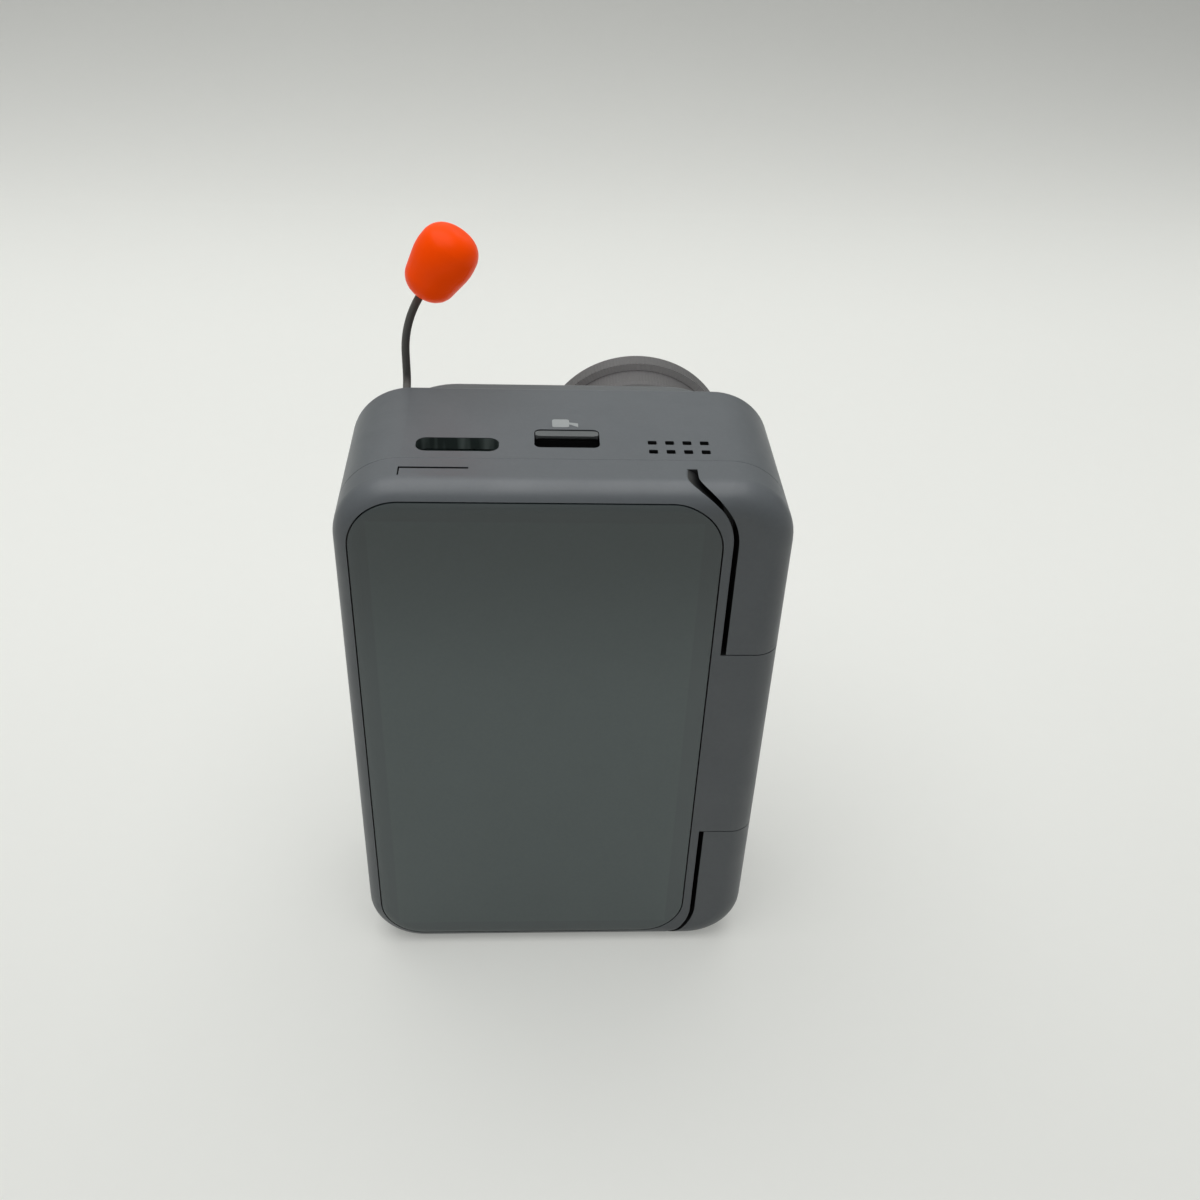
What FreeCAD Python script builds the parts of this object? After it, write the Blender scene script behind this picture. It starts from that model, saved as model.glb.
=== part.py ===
import FreeCAD, Part
import Sketcher
import math
import os

# Thumb action camera: a pod with a flip-up touch screen and a square camera that lifts out of its front.
# The pod stands on its short end. X runs from the mount side to the hinge side, Y from the screen to the
# lens, Z up. The origin is the middle of the end that it stands on. Sizes are in millimetres.

Vec = FreeCAD.Vector
doc = FreeCAD.newDocument("thumb_action_camera")
sheet = doc.addObject("Spreadsheet::Sheet", "Sizes")
nodes = []
SHEET_ROWS = []


class Size:
    """A size with its value and the sheet expression that gives it."""

    def __init__(self, value, text):
        self.value = value
        self.text = text

    def _join(self, sign, other, value):
        return Size(value, f"({self.text} {sign} {text_of(other)})")

    def __add__(self, other):
        return self._join("+", other, self.value + value_of(other))

    def __sub__(self, other):
        return self._join("-", other, self.value - value_of(other))

    def __mul__(self, other):
        return self._join("*", other, self.value * value_of(other))

    def __truediv__(self, other):
        return self._join("/", other, self.value / value_of(other))

    def __neg__(self):
        return Size(-self.value, f"(0 - {self.text})")

    def __radd__(self, other):
        return self + other

    def __rmul__(self, other):
        return self * other


def value_of(item):
    return item.value if isinstance(item, Size) else float(item)


def text_of(item):
    return item.text if isinstance(item, Size) else repr(float(item))


def slant(first, second):
    """The long side over two square sides."""
    value = math.hypot(value_of(first), value_of(second))
    return Size(value, f"sqrt(pow({text_of(first)}; 2) + pow({text_of(second)}; 2))")


def size(name, value):
    """Writes a driving size to the sheet under its own alias."""
    row = len(SHEET_ROWS) + 1
    SHEET_ROWS.append(name)
    sheet.set(f"A{row}", name)
    sheet.set(f"B{row}", str(value))
    sheet.setAlias(f"B{row}", name)
    return Size(float(value), f"Sizes.{name}")


# Pod shell
shell_width = size("shell_width", 47.2)
shell_height = size("shell_height", 68.5)
shell_depth = size("shell_depth", 22.0)
corner_radius = size("corner_radius", 6.9)
back_round = size("back_round", 2.8)
front_round = size("front_round", 0.8)
seam_chamfer = size("seam_chamfer", 0.08)
wall = size("wall", 1.35)
plate_thickness = size("plate_thickness", 1.75)
lip_height = size("lip_height", 0.8)
lip_thickness = size("lip_thickness", 0.8)
fit_gap = size("fit_gap", 0.1)
pill_share = size("pill_share", 0.96)
cap_edge_share = size("cap_edge_share", 0.6)

# Screen module and hinge
screen_thickness = size("screen_thickness", 4.4)
ear_width = size("ear_width", 6.6)
screen_corner = size("screen_corner", 6.5)
corner_lift = size("corner_lift", 0.2)
ear_gap = size("ear_gap", 0.6)
ear_tip_gap = size("ear_tip_gap", 0.35)
swing_gap = size("swing_gap", 0.2)
arm_overlap = size("arm_overlap", 1.2)
lower_ear = size("lower_ear", 20.35)
barrel_length = size("barrel_length", 27.6)
barrel_end_gap = size("barrel_end_gap", 0.12)
barrel_gap = size("barrel_gap", 0.2)
pin_radius = size("pin_radius", 0.95)
pin_bore = size("pin_bore", 0.55)
pin_reach = size("pin_reach", 8.0)
pin_running_gap = size("pin_running_gap", 0.04)
wire_radius = size("wire_radius", 0.5)
bush_radius = size("bush_radius", 1.7)
bush_length = size("bush_length", 4.0)
glass_margin = size("glass_margin", 1.72)
glass_foot = size("glass_foot", 2.1)
glass_hinge_margin = size("glass_hinge_margin", 1.1)
glass_corner = size("glass_corner", 5.3)
glass_thickness = size("glass_thickness", 0.8)
glass_gap = size("glass_gap", 0.16)
display_border = size("display_border", 2.0)
display_thickness = size("display_thickness", 1.2)
frame_ledge = size("frame_ledge", 1.3)
tape_thickness = size("tape_thickness", 0.1)
cover_thickness = size("cover_thickness", 0.7)
cover_margin = size("cover_margin", 2.6)
cover_corner = size("cover_corner", 4.4)
screen_board_thickness = size("screen_board_thickness", 0.6)
nail_notch_length = size("nail_notch_length", 7.0)
nail_notch_start = size("nail_notch_start", 6.8)
nail_notch_width = size("nail_notch_width", 0.32)
nail_notch_depth = size("nail_notch_depth", 0.5)
nail_notch_turn = size("nail_notch_turn", 1.3)

# Camera and its bay
camera_side_margin = size("camera_side_margin", 1.4)
camera_foot = size("camera_foot", 22.9)
camera_corner = size("camera_corner", 10.5)
camera_top_margin = size("camera_top_margin", 1.0)
camera_proud = size("camera_proud", 3.4)
camera_front_round = size("camera_front_round", 1.3)
camera_back_round = size("camera_back_round", 0.8)
camera_wall = size("camera_wall", 1.2)
camera_rear_depth = size("camera_rear_depth", 3.0)
bay_depth = size("bay_depth", 6.8)
bay_floor_thickness = size("bay_floor_thickness", 1.2)
bay_gap = size("bay_gap", 0.15)
seat_gap = size("seat_gap", 0.2)

# Lens, measured from the camera's outer faces
lens_step = size("lens_step", 13.0)
lens_drop = size("lens_drop", 11.9)
turret_step = size("turret_step", 1.45)
turret_height = size("turret_height", 2.4)
lens_tube_radius = size("lens_tube_radius", 9.15)
lens_flange_step = size("lens_flange_step", 0.75)
lens_clearance = size("lens_clearance", 1.0)
turret_chamfer = size("turret_chamfer", 0.3)
lens_reach = size("lens_reach", 6.0)
guard_step = size("guard_step", 2.25)
guard_grip_step = size("guard_grip_step", 1.35)
guard_edge = size("guard_edge", 0.4)
guard_reach = size("guard_reach", 8.3)
guard_flange_width = size("guard_flange_width", 2.5)
guard_running_gap = size("guard_running_gap", 0.08)
guard_rear_gap = size("guard_rear_gap", 0.3)
guard_glass_step = size("guard_glass_step", 0.6)
guard_glass_thickness = size("guard_glass_thickness", 0.8)
guard_lip = size("guard_lip", 0.7)
guard_lip_step = size("guard_lip_step", 0.15)
front_element_curve = size("front_element_curve", 13.0)
front_element_thickness = size("front_element_thickness", 3.2)
front_element_inset = size("front_element_inset", 0.2)
element_wall = size("element_wall", 1.75)
element_ledge = size("element_ledge", 1.0)
baffle_step_height = size("baffle_step_height", 0.35)
baffle_step_width = size("baffle_step_width", 0.28)
inner_element_thickness = size("inner_element_thickness", 1.4)
inner_element_pitch = size("inner_element_pitch", 2.4)

# Port end
port_step = size("port_step", 12.5)
port_rise = size("port_rise", 2.8)
port_width = size("port_width", 8.94)
port_height = size("port_height", 3.16)
port_shell = size("port_shell", 0.3)
port_depth = size("port_depth", 7.0)
port_slot_corner = size("port_slot_corner", 1.1)
tongue_width = size("tongue_width", 6.7)
tongue_thickness = size("tongue_thickness", 0.7)
tongue_setback = size("tongue_setback", 0.9)
release_x = size("release_x", 0.2)
release_width = size("release_width", 6.6)
release_seam_gap = size("release_seam_gap", 2.45)
release_length = size("release_length", 3.6)
release_rise = size("release_rise", 0.35)
release_corner = size("release_corner", 0.7)
release_travel = size("release_travel", 0.8)
release_lip = size("release_lip", 0.25)
release_well = size("release_well", 1.65)
release_undercut = size("release_undercut", 0.6)
release_foot_gap = size("release_foot_gap", 0.4)
latch_clearance = size("latch_clearance", 2.0)
release_gap = size("release_gap", 0.1)
button_gap = size("button_gap", 0.15)
speaker_step = size("speaker_step", 11.8)
speaker_seam_gap = size("speaker_seam_gap", 2.63)
speaker_pitch_x = size("speaker_pitch_x", 1.82)
speaker_pitch_y = size("speaker_pitch_y", 1.85)
speaker_hole_width = size("speaker_hole_width", 0.94)
speaker_hole_depth = size("speaker_hole_depth", 0.8)
speaker_hole_corner = size("speaker_hole_corner", 0.15)
speaker_corner = size("speaker_corner", 0.6)
speaker_width = size("speaker_width", 8.0)
speaker_thickness = size("speaker_thickness", 3.4)
speaker_height = size("speaker_height", 4.6)

# Other buttons, mounts and fixings
shutter_radius = size("shutter_radius", 4.2)
shutter_rise = size("shutter_rise", 0.5)
shutter_y = size("shutter_y", 3.2)
button_flange = size("button_flange", 0.6)
flange_overlap = size("flange_overlap", 0.5)
button_travel = size("button_travel", 0.35)
base_button_length = size("base_button_length", 7.0)
base_button_width = size("base_button_width", 3.0)
base_button_recess = size("base_button_recess", 0.25)
base_button_y = size("base_button_y", 2.0)
power_x = size("power_x", 8.0)
quick_x = size("quick_x", 5.0)
switch_size = size("switch_size", 3.0)
switch_height = size("switch_height", 1.3)
board_thickness = size("board_thickness", 0.8)
board_margin = size("board_margin", 4.4)
cell_margin = size("cell_margin", 4.2)
cell_gap = size("cell_gap", 0.2)
cell_corner = size("cell_corner", 1.5)
board_corner = size("board_corner", 1.0)
board_overlap = size("board_overlap", 1.0)
mount_slot_length = size("mount_slot_length", 9.0)
mount_slot_width = size("mount_slot_width", 2.6)
mount_slot_corner = size("mount_slot_corner", 0.8)
mount_slot_spacing = size("mount_slot_spacing", 26.0)
mount_step = size("mount_step", 4.05)
mount_magnet_radius = size("mount_magnet_radius", 3.0)
mount_magnet_spacing = size("mount_magnet_spacing", 8.0)
magnet_thickness = size("magnet_thickness", 1.5)
strike_thickness = size("strike_thickness", 0.6)
strike_overlap = size("strike_overlap", 1.0)
strike_corner = size("strike_corner", 0.5)
boss_inset = size("boss_inset", 5.2)
boss_screen_margin = size("boss_screen_margin", 2.5)
boss_clearance = size("boss_clearance", 0.4)
boss_radius = size("boss_radius", 1.9)
screw_radius = size("screw_radius", 0.7)
screw_head_radius = size("screw_head_radius", 1.45)
screw_head_height = size("screw_head_height", 0.8)
screw_head_edge = size("screw_head_edge", 0.2)
screw_grip = size("screw_grip", 4.5)
bay_magnet_radius = size("bay_magnet_radius", 2.4)
bay_magnet_side_margin = size("bay_magnet_side_margin", 8.7)
bay_magnet_end_margin = size("bay_magnet_end_margin", 10.3)
contact_block_width = size("contact_block_width", 12.0)
contact_block_height = size("contact_block_height", 3.4)
contact_step = size("contact_step", 6.1)
contact_pitch = size("contact_pitch", 2.1)
contact_radius = size("contact_radius", 0.45)
contact_pad_thickness = size("contact_pad_thickness", 0.3)
contact_pad_width = size("contact_pad_width", 1.3)
contact_pad_height = size("contact_pad_height", 2.6)

# Camera insides and its front button
camera_button_step = size("camera_button_step", 11.2)
camera_button_drop = size("camera_button_drop", 9.2)
camera_button_radius = size("camera_button_radius", 4.6)
camera_button_rise = size("camera_button_rise", 0.4)
light_drop = size("light_drop", 7.5)
light_radius = size("light_radius", 0.8)
light_tail = size("light_tail", 1.0)
dome_radius = size("dome_radius", 2.4)
camera_cell_margin = size("camera_cell_margin", 7.3)
camera_board_thickness = size("camera_board_thickness", 0.7)
camera_battery_thickness = size("camera_battery_thickness", 4.4)
sensor_stack = size("sensor_stack", 2.0)
stack_width = size("stack_width", 10.0)
stack_height = size("stack_height", 8.0)
sensor_board_size = size("sensor_board_size", 15.0)
sensor_width = size("sensor_width", 8.8)
sensor_height = size("sensor_height", 6.6)
sensor_thickness = size("sensor_thickness", 0.7)
nose_recess = size("nose_recess", 0.9)
magnet_depth = size("magnet_depth", 0.9)

# Latch nose behind the camera and the microphone behind the hinge-side wall
nose_width = size("nose_width", 3.2)
nose_height = size("nose_height", 2.4)
nose_face = size("nose_face", 1.4)
nose_drop = size("nose_drop", 8.2)
latch_thickness = size("latch_thickness", 1.2)
latch_width = size("latch_width", 5.0)
microphone_step = size("microphone_step", 3.35)
microphone_drop = size("microphone_drop", 10.5)
microphone_hole = size("microphone_hole", 0.4)
microphone_size = size("microphone_size", 3.0)
microphone_thickness = size("microphone_thickness", 1.2)

# Tether
ferrule_corner_step = size("ferrule_corner_step", 4.7)
ferrule_drop = size("ferrule_drop", 0.5)
ferrule_radius = size("ferrule_radius", 0.68)
ferrule_seat = size("ferrule_seat", 2.0)
ferrule_proud = size("ferrule_proud", 0.5)
stalk_radius = size("stalk_radius", 0.45)
stalk_plane = size("stalk_plane", 2.8)
stalk_elbow = size("stalk_elbow", 1.6)
stalk_straight = size("stalk_straight", 2.4)
stalk_bend = size("stalk_bend", 13.0)
bead_tilt = size("bead_tilt", 32.3)
bead_length = size("bead_length", 8.2)
bead_radius = size("bead_radius", 3.5)
bead_waist = size("bead_waist", 4.9)
bead_waist_round = size("bead_waist_round", 6.2)
bead_end_round = size("bead_end_round", 2.35)
bead_foot_radius = size("bead_foot_radius", 2.55)
bead_cap_radius = size("bead_cap_radius", 3.0)
bead_socket = size("bead_socket", 2.0)

# Places worked out from the sizes
right = shell_width / 2
left = -right
front = shell_depth / 2
back = -front
split = back + screen_thickness
plate_front = split + plate_thickness
hinge_x = right - back_round
hinge_y = back + back_round
barrel_low = lower_ear
barrel_high = lower_ear + barrel_length
screen_reach = right - ear_width
ear_left = screen_reach + ear_gap
bay_floor = front - bay_depth
floor_inside = bay_floor - bay_floor_thickness
camera_back = bay_floor + seat_gap
camera_front = front + camera_proud
camera_seam = camera_back + camera_rear_depth
camera_right = right - camera_side_margin
camera_left = -camera_right
camera_top = shell_height - camera_top_margin
camera_height = camera_top - camera_foot
camera_middle = camera_top - camera_height / 2
lens_x = camera_right - lens_step
lens_z = camera_top - lens_drop
turret_radius = lens_tube_radius + turret_step
lens_flange = lens_tube_radius + lens_flange_step
guard_radius = lens_tube_radius + guard_step
guard_grip_radius = lens_tube_radius + guard_grip_step
guard_glass_radius = lens_tube_radius + guard_glass_step
guard_lip_radius = lens_tube_radius + guard_lip_step
element_seat = lens_tube_radius - element_wall
front_element_radius = element_seat - fit_gap
lens_tube_bore = element_seat - element_ledge
guard_front = camera_front + guard_reach
board_back = floor_inside - board_thickness
pin_low = lower_ear - pin_reach
pin_high = barrel_high + pin_reach
nose_low = shell_height - nose_drop
shutter_z = camera_foot / 2
ferrule_x = camera_right - ferrule_corner_step
ferrule_z = camera_top - ferrule_drop
camera_button_x = camera_right - camera_button_step
camera_button_z = camera_middle - camera_button_drop
light_z = camera_top - light_drop
contact_z = camera_foot + contact_step
bay_magnet_x = camera_right - bay_magnet_side_margin
bay_magnet_rise = camera_height / 2 - bay_magnet_end_margin
port_x = right - port_step
port_y = -(plate_front + port_rise)
release_back = -(plate_front + release_seam_gap)
speaker_x = right - speaker_step
speaker_y = -(plate_front + speaker_seam_gap)
mount_y = -(plate_front + mount_step)
microphone_back = -(plate_front + microphone_step)
microphone_z = shell_height - microphone_drop
speaker_top = shell_height - wall - fit_gap


def box(x0, x1, y0, y1, radius=None):
    """Corners of a rectangle, rounded where a radius is given."""
    corners = [(x0, y0), (x1, y0), (x1, y1), (x0, y1)]
    if radius is None:
        return corners
    return [corner + (radius,) for corner in corners]


def disc(x, y, radius):
    """A circle in a sketch."""
    return ("disc", x, y, radius)


def tie_point(sketch, geometry, vertex, x, y):
    """Ties a vertex to its place with a horizontal and a vertical distance."""
    for kind, place in (("DistanceX", x), ("DistanceY", y)):
        rule = Sketcher.Constraint(kind, -1, 1, geometry, vertex, value_of(place))
        index = sketch.addConstraint(rule)
        sketch.setExpression(f"Constraints[{index}]", text_of(place))


def tie_radius(sketch, geometry, radius):
    index = sketch.addConstraint(Sketcher.Constraint("Radius", geometry, value_of(radius)))
    sketch.setExpression(f"Constraints[{index}]", text_of(radius))


def draw_disc(sketch, x, y, radius):
    circle = Part.Circle(Vec(value_of(x), value_of(y), 0), Vec(0, 0, 1), value_of(radius))
    index = sketch.addGeometry(circle, False)
    tie_point(sketch, index, 3, x, y)
    tie_radius(sketch, index, radius)


def corner_arc(place, toward_last, toward_next, radius):
    """The arc that rounds a corner, with its trim length and whether the outline turns left there."""
    half = toward_last.getAngle(toward_next) / 2
    middle = (toward_last + toward_next).normalize()
    centre = place + middle * (radius / math.sin(half))
    trim = radius / math.tan(half)
    first = place + toward_last * trim - centre
    last = place + toward_next * trim - centre
    turns_left = (toward_next.cross(toward_last)).z > 0
    if not turns_left:
        first, last = last, first
    start = math.atan2(first.y, first.x)
    end = math.atan2(last.y, last.x)
    if end < start:
        end += 2 * math.pi
    circle = Part.Circle(centre, Vec(0, 0, 1), radius)
    return Part.ArcOfCircle(circle, start, end), trim, turns_left


def draw_outline(sketch, corners):
    """A closed outline through corners (x, y) or (x, y, radius), each tied to the sheet."""
    count = len(corners)
    places = [Vec(value_of(corner[0]), value_of(corner[1]), 0) for corner in corners]
    arcs = {}
    arrive = list(places)
    leave = list(places)
    for i, corner in enumerate(corners):
        if len(corner) < 3:
            continue
        toward_last = (places[i - 1] - places[i]).normalize()
        toward_next = (places[(i + 1) % count] - places[i]).normalize()
        arc, trim, turns_left = corner_arc(places[i], toward_last, toward_next, value_of(corner[2]))
        arcs[i] = (arc, turns_left)
        arrive[i] = places[i] + toward_last * trim
        leave[i] = places[i] + toward_next * trim
    first = sketch.GeometryCount
    for i in range(count):
        sketch.addGeometry(Part.LineSegment(leave[i], arrive[(i + 1) % count]), False)
    for i, corner in enumerate(corners):
        line_in = first + (i - 1) % count
        line_out = first + i
        if i not in arcs:
            sketch.addConstraint(Sketcher.Constraint("Coincident", line_in, 2, line_out, 1))
            tie_point(sketch, line_out, 1, corner[0], corner[1])
            continue
        arc, turns_left = arcs[i]
        bend = sketch.addGeometry(arc, False)
        begin, finish = (1, 2) if turns_left else (2, 1)
        sketch.addConstraint(Sketcher.Constraint("Tangent", line_in, 2, bend, begin))
        sketch.addConstraint(Sketcher.Constraint("Tangent", bend, finish, line_out, 1))
        tie_radius(sketch, bend, corner[2])
        tip = sketch.addGeometry(Part.Point(places[i]), True)
        sketch.addConstraint(Sketcher.Constraint("PointOnObject", tip, 1, line_in))
        sketch.addConstraint(Sketcher.Constraint("PointOnObject", tip, 1, line_out))
        tie_point(sketch, tip, 1, corner[0], corner[1])


def sketch_on(body, name, plane, height, loops, across=0, up=0):
    """A sketch on the body's own origin plane, moved to a height along that plane's global axis."""
    sketch = body.newObject("Sketcher::SketchObject", name)
    role = f"{plane}_Plane"
    support = next(item for item in body.Origin.OriginFeatures if item.Role == role)
    sketch.AttachmentSupport = [(support, "")]
    sketch.MapMode = "FlatFace"
    shift = text_of(height)
    if plane == "XZ":
        shift = f"0 - {shift}"
    sketch.setExpression("AttachmentOffset.Base.z", shift)
    sketch.setExpression("AttachmentOffset.Base.x", text_of(across))
    sketch.setExpression("AttachmentOffset.Base.y", text_of(up))
    for loop in loops:
        if loop[0] == "disc":
            draw_disc(sketch, *loop[1:])
        else:
            draw_outline(sketch, loop)
    return sketch


def new_body(label):
    body = doc.addObject("PartDesign::Body", label)
    body.Label = label
    return body


def pad(body, name, plane, start, end, *loops):
    """Adds the loops as a block from start to end along the plane's global axis."""
    feature = body.newObject("PartDesign::Pad", name)
    feature.Profile = sketch_on(body, name + "Sketch", plane, start, loops)
    feature.setExpression("Length", text_of(end - start))
    feature.Reversed = plane == "XZ"
    body.Tip = feature
    return feature


def pocket(body, name, plane, start, end, *loops):
    """Cuts the loops away from start to end along the plane's global axis."""
    feature = body.newObject("PartDesign::Pocket", name)
    feature.Profile = sketch_on(body, name + "Sketch", plane, start, loops)
    feature.setExpression("Length", text_of(end - start))
    feature.Reversed = plane != "XZ"
    body.Tip = feature
    return feature


def turned(body, name, kind, plane, height, across, up, axis, *loops, angle=360):
    """A Revolution or Groove of loops drawn about the moved sketch's own H_Axis or V_Axis."""
    feature = body.newObject(f"PartDesign::{kind}", name)
    sketch = sketch_on(body, name + "Sketch", plane, height, loops, across, up)
    feature.Profile = sketch
    feature.ReferenceAxis = (sketch, [axis])
    feature.Angle = angle
    body.Tip = feature
    return feature


def dress(body, name, kind, amount, choose):
    """A Fillet or Chamfer on the edges of the body so far that choose picks."""
    doc.recompute()
    base = body.Tip
    names = [f"Edge{i + 1}" for i, edge in enumerate(base.Shape.Edges) if choose(edge)]
    if not names:
        raise ValueError(f"{body.Label} {name} finds no edge")
    feature = body.newObject(f"PartDesign::{kind}", name)
    feature.Base = (base, names)
    feature.setExpression("Radius" if kind == "Fillet" else "Size", text_of(amount))
    body.Tip = feature
    return feature


def lies_at(axis, place):
    """Picks edges that lie in the plane where the axis has this place."""
    low, high = f"{axis}Min", f"{axis}Max"
    target = value_of(place)

    def choose(edge):
        bounds = edge.BoundBox
        return abs(getattr(bounds, low) - target) < 1e-3 and abs(getattr(bounds, high) - target) < 1e-3

    return choose


def keep(thing, label=None):
    """Marks a finished sub-part for export under its label."""
    if label:
        thing.Label = label
    nodes.append(thing)
    return thing


def slab(label, plane, start, end, *loops):
    """A plain plate or block as a body of its own."""
    body = new_body(label)
    pad(body, label + "_pad", plane, start, end, *loops)
    return keep(body)


def group(label, bodies):
    """Separate solids that share one node."""
    whole = doc.addObject("Part::Compound", label)
    whole.Links = bodies
    return keep(whole, label)


def pod_outline(inset):
    """The pod's end-on outline, moved inwards by inset."""
    return box(left + inset, right - inset, inset, shell_height - inset, corner_radius - inset)


def camera_outline(inset):
    """The camera's square outline with its large corners, moved inwards by inset."""
    low = camera_foot + inset
    high = camera_top - inset
    return box(camera_left + inset, camera_right - inset, low, high, camera_corner - inset)


def boss_places():
    """The four screw places: two on the mount side and two behind the screen's hinge edge."""
    outer = left + boss_inset
    inner = screen_reach - boss_screen_margin
    yield outer, boss_inset
    yield outer, shell_height - boss_inset
    yield inner, boss_inset
    yield inner, speaker_top - speaker_height - boss_radius - boss_clearance


def magnet_places():
    """The four magnet places in the camera bay."""
    for side in (-1, 1):
        for level in (-1, 1):
            yield bay_magnet_x * side, camera_middle + bay_magnet_rise * level


def contact_places():
    """The five contact places in a row."""
    for step in range(-2, 3):
        yield contact_pitch * step


def contact_pad_outline(x):
    """One contact pad on the back of the camera."""
    half_width = contact_pad_width / 2
    half_height = contact_pad_height / 2
    return box(x - half_width, x + half_width, contact_z - half_height, contact_z + half_height)


# Pod housing with its camera bay
def make_pod_housing():
    body = new_body("pod_housing")
    pad(body, "Block", "XZ", plate_front, front, pod_outline(0))
    dress(body, "FrontRound", "Fillet", front_round, lies_at("Y", front))
    dress(body, "SeamEdge", "Chamfer", seam_chamfer, lies_at("Y", plate_front))
    pocket(body, "Bay", "XZ", bay_floor, front, camera_outline(-bay_gap))
    pocket(body, "Cavity", "XZ", plate_front, floor_inside, pod_outline(wall))
    low_top = camera_foot - bay_gap - wall
    low_corner = corner_radius - wall
    low_cavity = [
        (left + wall, wall, low_corner),
        (right - wall, wall, low_corner),
        (right - wall, low_top, wall),
        (left + wall, low_top, wall),
    ]
    pocket(body, "LowCavity", "XZ", floor_inside, front - wall, low_cavity)
    for i, (x, z) in enumerate(boss_places()):
        end = front - wall if i % 2 == 0 else floor_inside
        pad(body, f"Boss{i}", "XZ", plate_front, end, disc(x, z, boss_radius))
        pocket(body, f"BossHole{i}", "XZ", plate_front, plate_front + screw_grip, disc(x, z, screw_radius))

    inside_top = shell_height - wall - fit_gap * 2
    port_lip = port_shell - fit_gap
    port = box(
        -(port_x + port_width / 2 - port_lip),
        port_width / 2 - port_lip - port_x,
        -(port_y + port_height / 2 - port_lip),
        port_height / 2 - port_lip - port_y,
        port_slot_corner,
    )
    pocket(body, "PortSlot", "XY", inside_top, shell_height, port)
    release = box(
        release_x - release_width / 2 - release_gap,
        release_x + release_width / 2 + release_gap,
        -(release_back + release_gap),
        release_length - release_back + release_gap,
        release_corner,
    )
    pocket(body, "ReleaseHole", "XY", inside_top, shell_height, release)
    holes = []
    for column in (-1.5, -0.5, 0.5, 1.5):
        for row in (-0.5, 0.5):
            x = speaker_x + speaker_pitch_x * column
            y = speaker_pitch_y * row - speaker_y
            half_width = speaker_hole_width / 2
            half_depth = speaker_hole_depth / 2
            hole = box(x - half_width, x + half_width, y - half_depth, y + half_depth, speaker_hole_corner)
            holes.append(hole)
    pocket(body, "SpeakerHoles", "XY", inside_top, shell_height, *holes)
    shutter_hole = disc(shutter_y, shutter_z, shutter_radius + button_gap)
    pocket(body, "ShutterHole", "YZ", right - wall - fit_gap * 2, right, shutter_hole)
    half_length = base_button_length / 2 + button_gap
    half_width = base_button_width / 2 + button_gap
    low = base_button_y - half_width
    high = base_button_y + half_width
    corner = half_width * pill_share
    power_hole = box(-(power_x + half_length), half_length - power_x, low, high, corner)
    quick_hole = box(quick_x - half_length, quick_x + half_length, low, high, corner)
    pocket(body, "BaseButtonHoles", "XY", 0, wall + fit_gap, power_hole, quick_hole)
    slots = []
    for side in (-0.5, 0.5):
        z = shell_height / 2 + mount_slot_spacing * side
        half_slot = mount_slot_length / 2
        half_width = mount_slot_width / 2
        low = -(mount_y + half_width)
        slots.append(box(low, half_width - mount_y, z - half_slot, z + half_slot, mount_slot_corner))
    pocket(body, "MountSlots", "YZ", left, left + wall + fit_gap, *slots)
    magnets = [disc(x, z, bay_magnet_radius + fit_gap / 2) for x, z in magnet_places()]
    pocket(body, "MagnetHoles", "XZ", floor_inside, bay_floor, *magnets)
    half_width = contact_block_width / 2 + fit_gap / 2
    half_height = contact_block_height / 2 + fit_gap / 2
    window = box(-half_width, half_width, contact_z - half_height, contact_z + half_height)
    pocket(body, "ContactWindow", "XZ", floor_inside, bay_floor, window)
    nose = box(
        release_x - nose_width / 2 - button_gap,
        release_x + nose_width / 2 + button_gap,
        nose_low - release_travel - button_gap,
        nose_low + nose_height + button_gap,
    )
    pocket(body, "NoseWindow", "XZ", floor_inside, bay_floor, nose)
    seat = disc(-ferrule_x, ferrule_z, ferrule_radius)
    pocket(body, "FerruleSeat", "XZ", front - ferrule_seat, front, seat)
    microphone = disc(-microphone_back, microphone_z, microphone_hole)
    pocket(body, "MicrophoneHole", "YZ", right - wall - fit_gap, right, microphone)
    return keep(body)


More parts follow.
